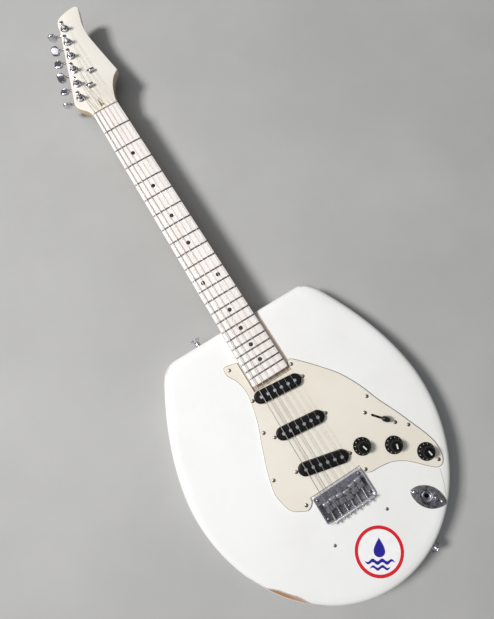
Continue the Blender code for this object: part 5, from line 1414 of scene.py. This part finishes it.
def makeControls():
    black = simpleFinish("knobBlack", (0.004, 0.004, 0.004), (0.009, 0.008, 0.008), 0.36, 0.0, 160.0, 0.02,
                         0.3, Specular_IOR_Level=0.12)
    white = simpleFinish("markWhite", (0.66, 0.65, 0.61), (0.55, 0.53, 0.48), 0.45, 0.0, 300.0, 0.2)
    skirt, crown = guardTop + knob["gap"], guardTop + knob["high"]
    ceiling, end = guardTop + knob["bush"] + knob["gap"], lidTop - 0.006
    radius = knob["radius"]
    base = turnPiece("knobBase", [(0, end), (0.003, end), (0.003, ceiling), (0.0066, ceiling),
                                  (0.0085, guardTop + 0.0034), (radius - 0.0016, skirt),
                                  (radius - 0.0002, skirt), (radius, skirt + 0.0002),
                                  (radius, skirt + 0.0009), (radius - 0.0003, skirt + 0.0013),
                                  (0.0092, skirt + 0.0040), (0.0086, skirt + 0.0047),
                                  (0.0075, skirt + 0.0052), (0.0068, crown - 0.004), (0, crown - 0.004)], 64)
    rings = []
    for size, z in ((0.0084, skirt + 0.0044), (0.0079, crown - 0.0014), (0.0075, crown - 0.0005),
                    (0.0069, crown)):
        depth = 0.0004 if z < crown - 0.0003 else 0.0
        rings.append([((size - depth * (k % 4 in (0, 3))) * cos(tau * k / (4 * knob["ribs"])),
                       (size - depth * (k % 4 in (0, 3))) * sin(tau * k / (4 * knob["ribs"])), z)
                      for k in range(4 * knob["ribs"])])
    carve(base, [loftPiece("grip", rings)], "UNION")
    slope = atan2(0.0027, radius - 0.0003 - 0.0092)
    for name, heading in zip(controls["names"], knob["headings"]):
        spot = middleOf("knob_" + name)
        rider = name + "_knob"
        finishPiece(copyPiece(base, "knobCap_" + name, at(spot.x, spot.y)), black, rider, ("knob_" + name,),
                    32)
        marks = []
        for digit in range(1, 11):
            bpy.ops.object.text_add()
            mark = bpy.context.active_object
            mark.data.body = str(digit)
            mark.data.size, mark.data.extrude = knob["digit"], 0.00006
            mark.data.align_x = mark.data.align_y = "CENTER"
            mark.data.resolution_u = 2
            choose(mark)
            bpy.ops.object.convert(target="MESH")
            openWhole(mark)
            bpy.ops.mesh.remove_doubles(threshold=1e-6)
            closeMesh()
            angle = radians(heading + knob["numbers"] + (digit - 5.5) * 31)
            place = at(spot.x, spot.y, skirt + 0.00297) @ spun(angle) @ at(knob["ring"], 0, 0) \
                @ spun(slope, "Y") @ spun(pi / 2)
            marks.append(placePiece(mark, place))
        bar = slabPiece("bar", boxOutline(0.0004, 0, 0.0066, 0.0019, 0.0004), crown - 0.0002, crown + 0.00008)
        marks.append(placePiece(bar, at(spot.x, spot.y) @ spun(radians(heading))))
        finishPiece(joinPieces("knobMarks_" + name, marks), white, rider, angle=60)
    scrap(base)
    for name in controls["names"]:
        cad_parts["pot_" + name].material_slots[0].material = metalFinish("steel")
    print("controls made")


# Selector switch
switch = {"turn": radians(-48.7), "rest": radians(11), "pivot": 0.0215, "rise": 0.0038, "long": 0.0122,
          "wide": 0.0082, "high": 0.0086}


def makeSwitch():
    spot = middleOf("selector_switch")
    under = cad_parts["selector_switch"]
    twin = under.copy()
    twin.data = under.data.copy()
    twin.name = twin.data.name = "switchFrame"
    for key in list(twin.keys()):
        del twin[key]
    linkPiece(twin)
    twin.parent = None
    twin.matrix_world = Matrix.Identity(4)
    turnOutwards(twin)
    openWhole(twin)
    bpy.ops.mesh.bisect(plane_co=(0, 0, guardTop - 0.0004), plane_no=(0, 0, 1), use_fill=True,
                        clear_outer=True)
    closeMesh()
    twin.hide_render = False
    finishPiece(twin, metalFinish("steel"), stands=("selector_switch",))
    tipLow = switch["pivot"] + guard["thick"] + switch["rise"]
    rings = []
    for share, size in ((0.0, 0.5), (0.03, 0.62), (0.12, 0.80), (0.28, 0.95), (0.45, 1.0), (0.62, 0.99),
                        (0.8, 0.92), (0.92, 0.80), (0.98, 0.66), (1.0, 0.5)):
        rings.append(superRing(switch["long"] * size, switch["wide"] * size, 2.2,
                               tipLow + switch["high"] * share))
    tip = loftPiece("switchCap", rings)
    pivot = at(spot.x, spot.y, seatTop - switch["pivot"]) @ spun(switch["turn"]) @ spun(switch["rest"], "Y")
    carve(tip, [slabPiece("socket", boxOutline(0, 0, 0.0044, 0.0028), tipLow - 0.001, tipLow + 0.0054)])
    placePiece(tip, pivot)
    tipBlack = simpleFinish("tipBlack", (0.010, 0.010, 0.010), (0.02, 0.019, 0.018), 0.22, 0.0, 160.0, 0.1)
    finishPiece(tip, tipBlack, "pickup_switch", ("switch_tip",), 60)
    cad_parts["switch_lever"].material_slots[0].material = metalFinish("screw")
    print("switch made")


# Jack plate with its cup, and the socket
jackPlate = {"turn": radians(-49.2), "long": 0.052, "wide": 0.029, "thick": 0.002, "cup": 0.0105,
             "cupDeep": 0.010, "wall": 0.0014, "sleeve": 0.0047, "plug": 0.0033}


def eyeOutline(length, width):
    radius = (length ** 2 + width ** 2) / (4 * width)
    half = asin(length / 2 / radius)
    points = []
    for side in (-1, 1):
        for i in range(24):
            angle = half * (i / 12 - 1)
            points.append((-side * radius * sin(angle), -side * (width / 2 - radius * (1 - cos(angle)))))
    return points


def makeJack():
    spot, low = middleOf("jack_plate"), seatTop
    top = low + jackPlate["thick"]
    plate = slabPiece("jackCover", eyeOutline(jackPlate["long"], jackPlate["wide"]), low, top, 0.0009, 3)
    wide, floor = jackPlate["cup"] + jackPlate["wall"], top - jackPlate["cupDeep"]
    under = floor - jackPlate["wall"]
    carve(plate, [turnPiece("cupOut", [(0, under), (wide - 0.003, under), (wide, floor + 0.0016),
                                       (wide, low + 0.001), (0, low + 0.001)], 48)], "UNION")
    bowl = [(0, floor), (jackPlate["cup"] - 0.004, floor), (jackPlate["cup"] - 0.0015, floor + 0.0008),
            (jackPlate["cup"] - 0.0003, floor + 0.0026), (jackPlate["cup"], floor + 0.0045),
            (jackPlate["cup"], top - 0.0008), (jackPlate["cup"] + 0.0005, top - 0.0002),
            (jackPlate["cup"] + 0.0009, top + 0.0004), (0, top + 0.0004)]
    carve(plate, [turnPiece("cupIn", bowl, 48)])
    carve(plate, [slabPiece("hole", discOutline(0, 0, jackPlate["sleeve"] + 0.0003), under - 0.001,
                            floor + 0.001)])
    placePiece(plate, at(spot.x, spot.y) @ spun(jackPlate["turn"]))
    finishPiece(plate, metalFinish("plate"), stands=("jack_plate",), angle=32)
    barrel, sleeve, plug = jackPlate["sleeve"] + 0.0035, jackPlate["sleeve"], jackPlate["plug"]
    socket = turnPiece("socketBody", [(plug, under - 0.014), (barrel, under - 0.014),
                                      (barrel, under - 0.0003), (sleeve, under - 0.0003),
                                      (sleeve, floor + 0.0024), (sleeve - 0.0003, floor + 0.0028),
                                      (plug + 0.0003, floor + 0.0028), (plug, floor + 0.0025),
                                      (plug, under - 0.014)], 40)
    ringNut = slabPiece("ringNut", discOutline(0, 0, sleeve + 0.0019, 6), floor + 0.0003, floor + 0.0022)
    softenEdges(ringNut, 0.0003, 2, 50)
    carve(ringNut, [slabPiece("hole", discOutline(0, 0, sleeve - 0.0002), floor - 0.001, floor + 0.004)])
    socket = joinPieces("jackSocket", [socket, ringNut])
    placePiece(socket, at(spot.x, spot.y) @ spun(0.3))
    finishPiece(socket, metalFinish("chrome"), stands=("jack_socket",))
    pattern = crossHead("plateScrew", screw["head"] + 0.0004, screw["rise"] + 0.0003, 0.010)
    reach = jackPlate["long"] / 2 - 0.0062
    setScrews("chrome", [at(x, y, top - 0.0001)
                         for x, y in bothSides(spot.x, spot.y, reach, jackPlate["turn"])], "jack_screw",
              pattern)
    scrap(pattern)
    print("jack made")


# Strap buttons, string trees, neck plate and the two spare screws in the lid
hardware = {"buttonLong": 0.0125, "buttonRadius": 0.0072, "spare": ((-0.0447, -0.1257), (0.0408, -0.1240)),
            "lowerAngle": radians(68), "upperX": -0.0651, "buttonZ": 0.0255, "boltRecess": 0.0052,
            "boltSeat": 0.0013}


def makeHardware():
    long, radius = hardware["buttonLong"], hardware["buttonRadius"]
    button = turnPiece("button", [(0, -0.016), (0.0005, -0.016), (0.0015, -0.0135), (0.0015, 0.0003),
                                  (0.0056, 0.0003), (0.0056, 0.0010), (0.0048, 0.0018), (0.0041, 0.0030),
                                  (0.0040, 0.0060), (0.0042, long - 0.0046), (0.0054, long - 0.0030),
                                  (radius - 0.0002, long - 0.0019), (radius, long - 0.0014),
                                  (radius, long - 0.0008), (radius - 0.0005, long - 0.0003),
                                  (radius - 0.0014, long), (0, long)], 40)
    crossRecess(button, 0.0032, 0.0007, long - 0.0014, long + 0.001)
    across, along = cos(hardware["lowerAngle"]), -sin(hardware["lowerAngle"])
    outward = Vector((across * body["buttReach"], along * body["halfWidth"], 0))
    lower = at(across * body["halfWidth"] + body["shift"], along * body["buttReach"], hardware["buttonZ"]) \
        @ outward.to_track_quat("Z", "Y").to_matrix().to_4x4()
    for name, place in (("upper", alongY(hardware["upperX"], body["hingeReach"], hardware["buttonZ"])),
                        ("lower", lower)):
        finishPiece(copyPiece(button, "strapPeg_" + name, place), metalFinish("chrome"),
                    stands=("strap_button_" + name,))
    scrap(button)
    width, depth, thick = trees["size"]
    bar = headFace + trees["bar"]
    for number, (x, y) in enumerate(trees["places"], 1):
        tree = slabPiece("treeBar", boxOutline(0, 0, width, depth, 0.0016, 5), bar, bar + thick)
        softenEdges(tree, 0.0006, 3, 50)
        head = turnPiece("treeScrew", [(0, headFace - 0.008), (0.0008, headFace - 0.008),
                                       (0.0016, headFace - 0.006), (0.0016, bar + thick),
                                       (0.0021, bar + thick), (0.0020, bar + thick + 0.0004),
                                       (0.0013, bar + thick + 0.0008), (0, bar + thick + 0.0008)], 24)
        carve(head, [slabPiece("cross", boxOutline(0, 0, 0.0022, 0.0005), bar + thick + 0.0003,
                               bar + thick + 0.002)])
        carve(tree, [head], "UNION")
        placePiece(tree, at(x, nutY + y))
        tree.name = "stringTree%d" % number
        finishPiece(tree, metalFinish("chrome"), stands=("string_tree_%d" % number,))
    low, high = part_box("neck_plate")
    plateY = (low.y + high.y) / 2
    plate = slabPiece("heelPlate", boxOutline(0, plateY, 0.051, 0.064, 0.0045, 6), -0.0023, -0.0003, 0.0006,
                      2)
    placePiece(plate, spun(pi, "Y"))
    bolts = [(sx * boltSpread[0] / 2, plateY + sy * boltSpread[1] / 2) for sx in (-1, 1) for sy in (-1, 1)]
    carve(plate, [slabPiece("recess", discOutline(x, y, hardware["boltRecess"], 32), -0.001,
                            hardware["boltSeat"]) for x, y in bolts])
    finishPiece(plate, metalFinish("chrome"), stands=("neck_plate",), angle=32)
    pattern = crossHead("plateBolt", 0.0044, 0.0008, 0.024)
    flip = spun(pi, "X")
    setScrews("chrome", [at(x, y, hardware["boltSeat"]) @ flip for x, y in bolts], "plate_bolt", pattern)
    scrap(pattern)
    pattern = crossHead("spareScrew", 0.0023, 0.0008, 0.008)
    setScrews("screw", [at(x, y, lidTop) for x, y in hardware["spare"]], "lid_screw", pattern)
    scrap(pattern)
    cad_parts["truss_rod"].material_slots[0].material = metalFinish("brass")
    print("hardware made")


# Sticker: a ring round one drop over two waves
sticker = {"place": (0.0015, -0.1630), "turn": -0.55, "base": 0.0338, "ring": 0.0330, "ringIn": 0.0285,
           "film": 0.00012, "drop": 0.0125, "dropY": 0.0055, "dropFat": 0.86,
           "waves": ((-0.0125, 0.0205, 0.0046), (-0.0200, 0.0140, 0.0036)), "swell": 0.0017, "pitch": 0.0128}


def dropOutline():
    points = []
    for k in range(36):
        angle = tau * k / 36
        wide = sticker["drop"] * sticker["dropFat"] * sin(angle) * sin(angle / 2) ** 1.4
        points.append((-wide, sticker["dropY"] + sticker["drop"] * cos(angle)))
    return points


def waveOutline(level, reach, thick):
    top, bottom = [], []
    for k in range(49):
        x = reach * (k / 24 - 1)
        middle = level + sticker["swell"] * sin(tau * x / sticker["pitch"])
        half = thick / 2 * (1.02 - (k / 24 - 1) ** 4)
        top.append((x, middle + half))
        bottom.append((x, middle - half))
    return bottom + top[::-1]


def makeSticker():
    place = at(*sticker["place"]) @ spun(sticker["turn"])
    film = sticker["film"]
    layers = (("stickerBase", [discOutline(0, 0, sticker["base"], 96)], (0.84, 0.84, 0.84), 0, ()),
              ("stickerRing", [discOutline(0, 0, sticker["ring"], 96)], (0.62, 0.012, 0.022), 1,
               [discOutline(0, 0, sticker["ringIn"], 96)]),
              ("stickerMotif", [dropOutline()] + [waveOutline(*row) for row in sticker["waves"]],
               (0.016, 0.012, 0.27), 1, ()))
    for name, outlines, tint, level, holes in layers:
        low = lidTop + film * level
        piece = joinPieces(name, [slabPiece("film", outline, low, low + film) for outline in outlines])
        if holes:
            carve(piece, [slabPiece("hole", hole, low - 0.001, low + 0.001) for hole in holes])
        placePiece(piece, place)
        shade = tuple(channel * 0.93 for channel in tint)
        finishPiece(piece, simpleFinish(name + "Print", tint, shade, 0.35, 0.0, 90.0, 0.06, 0.3), angle=30)
    print("sticker made")


setStage()
setCamera()
makeBody()
makeNeck()
makeBoard()
makeNut()
makeGuard()
makePickups()
makeBridge()
makeStrings()
makeTuners()
makeControls()
makeSwitch()
makeJack()
makeHardware()
makeSticker()
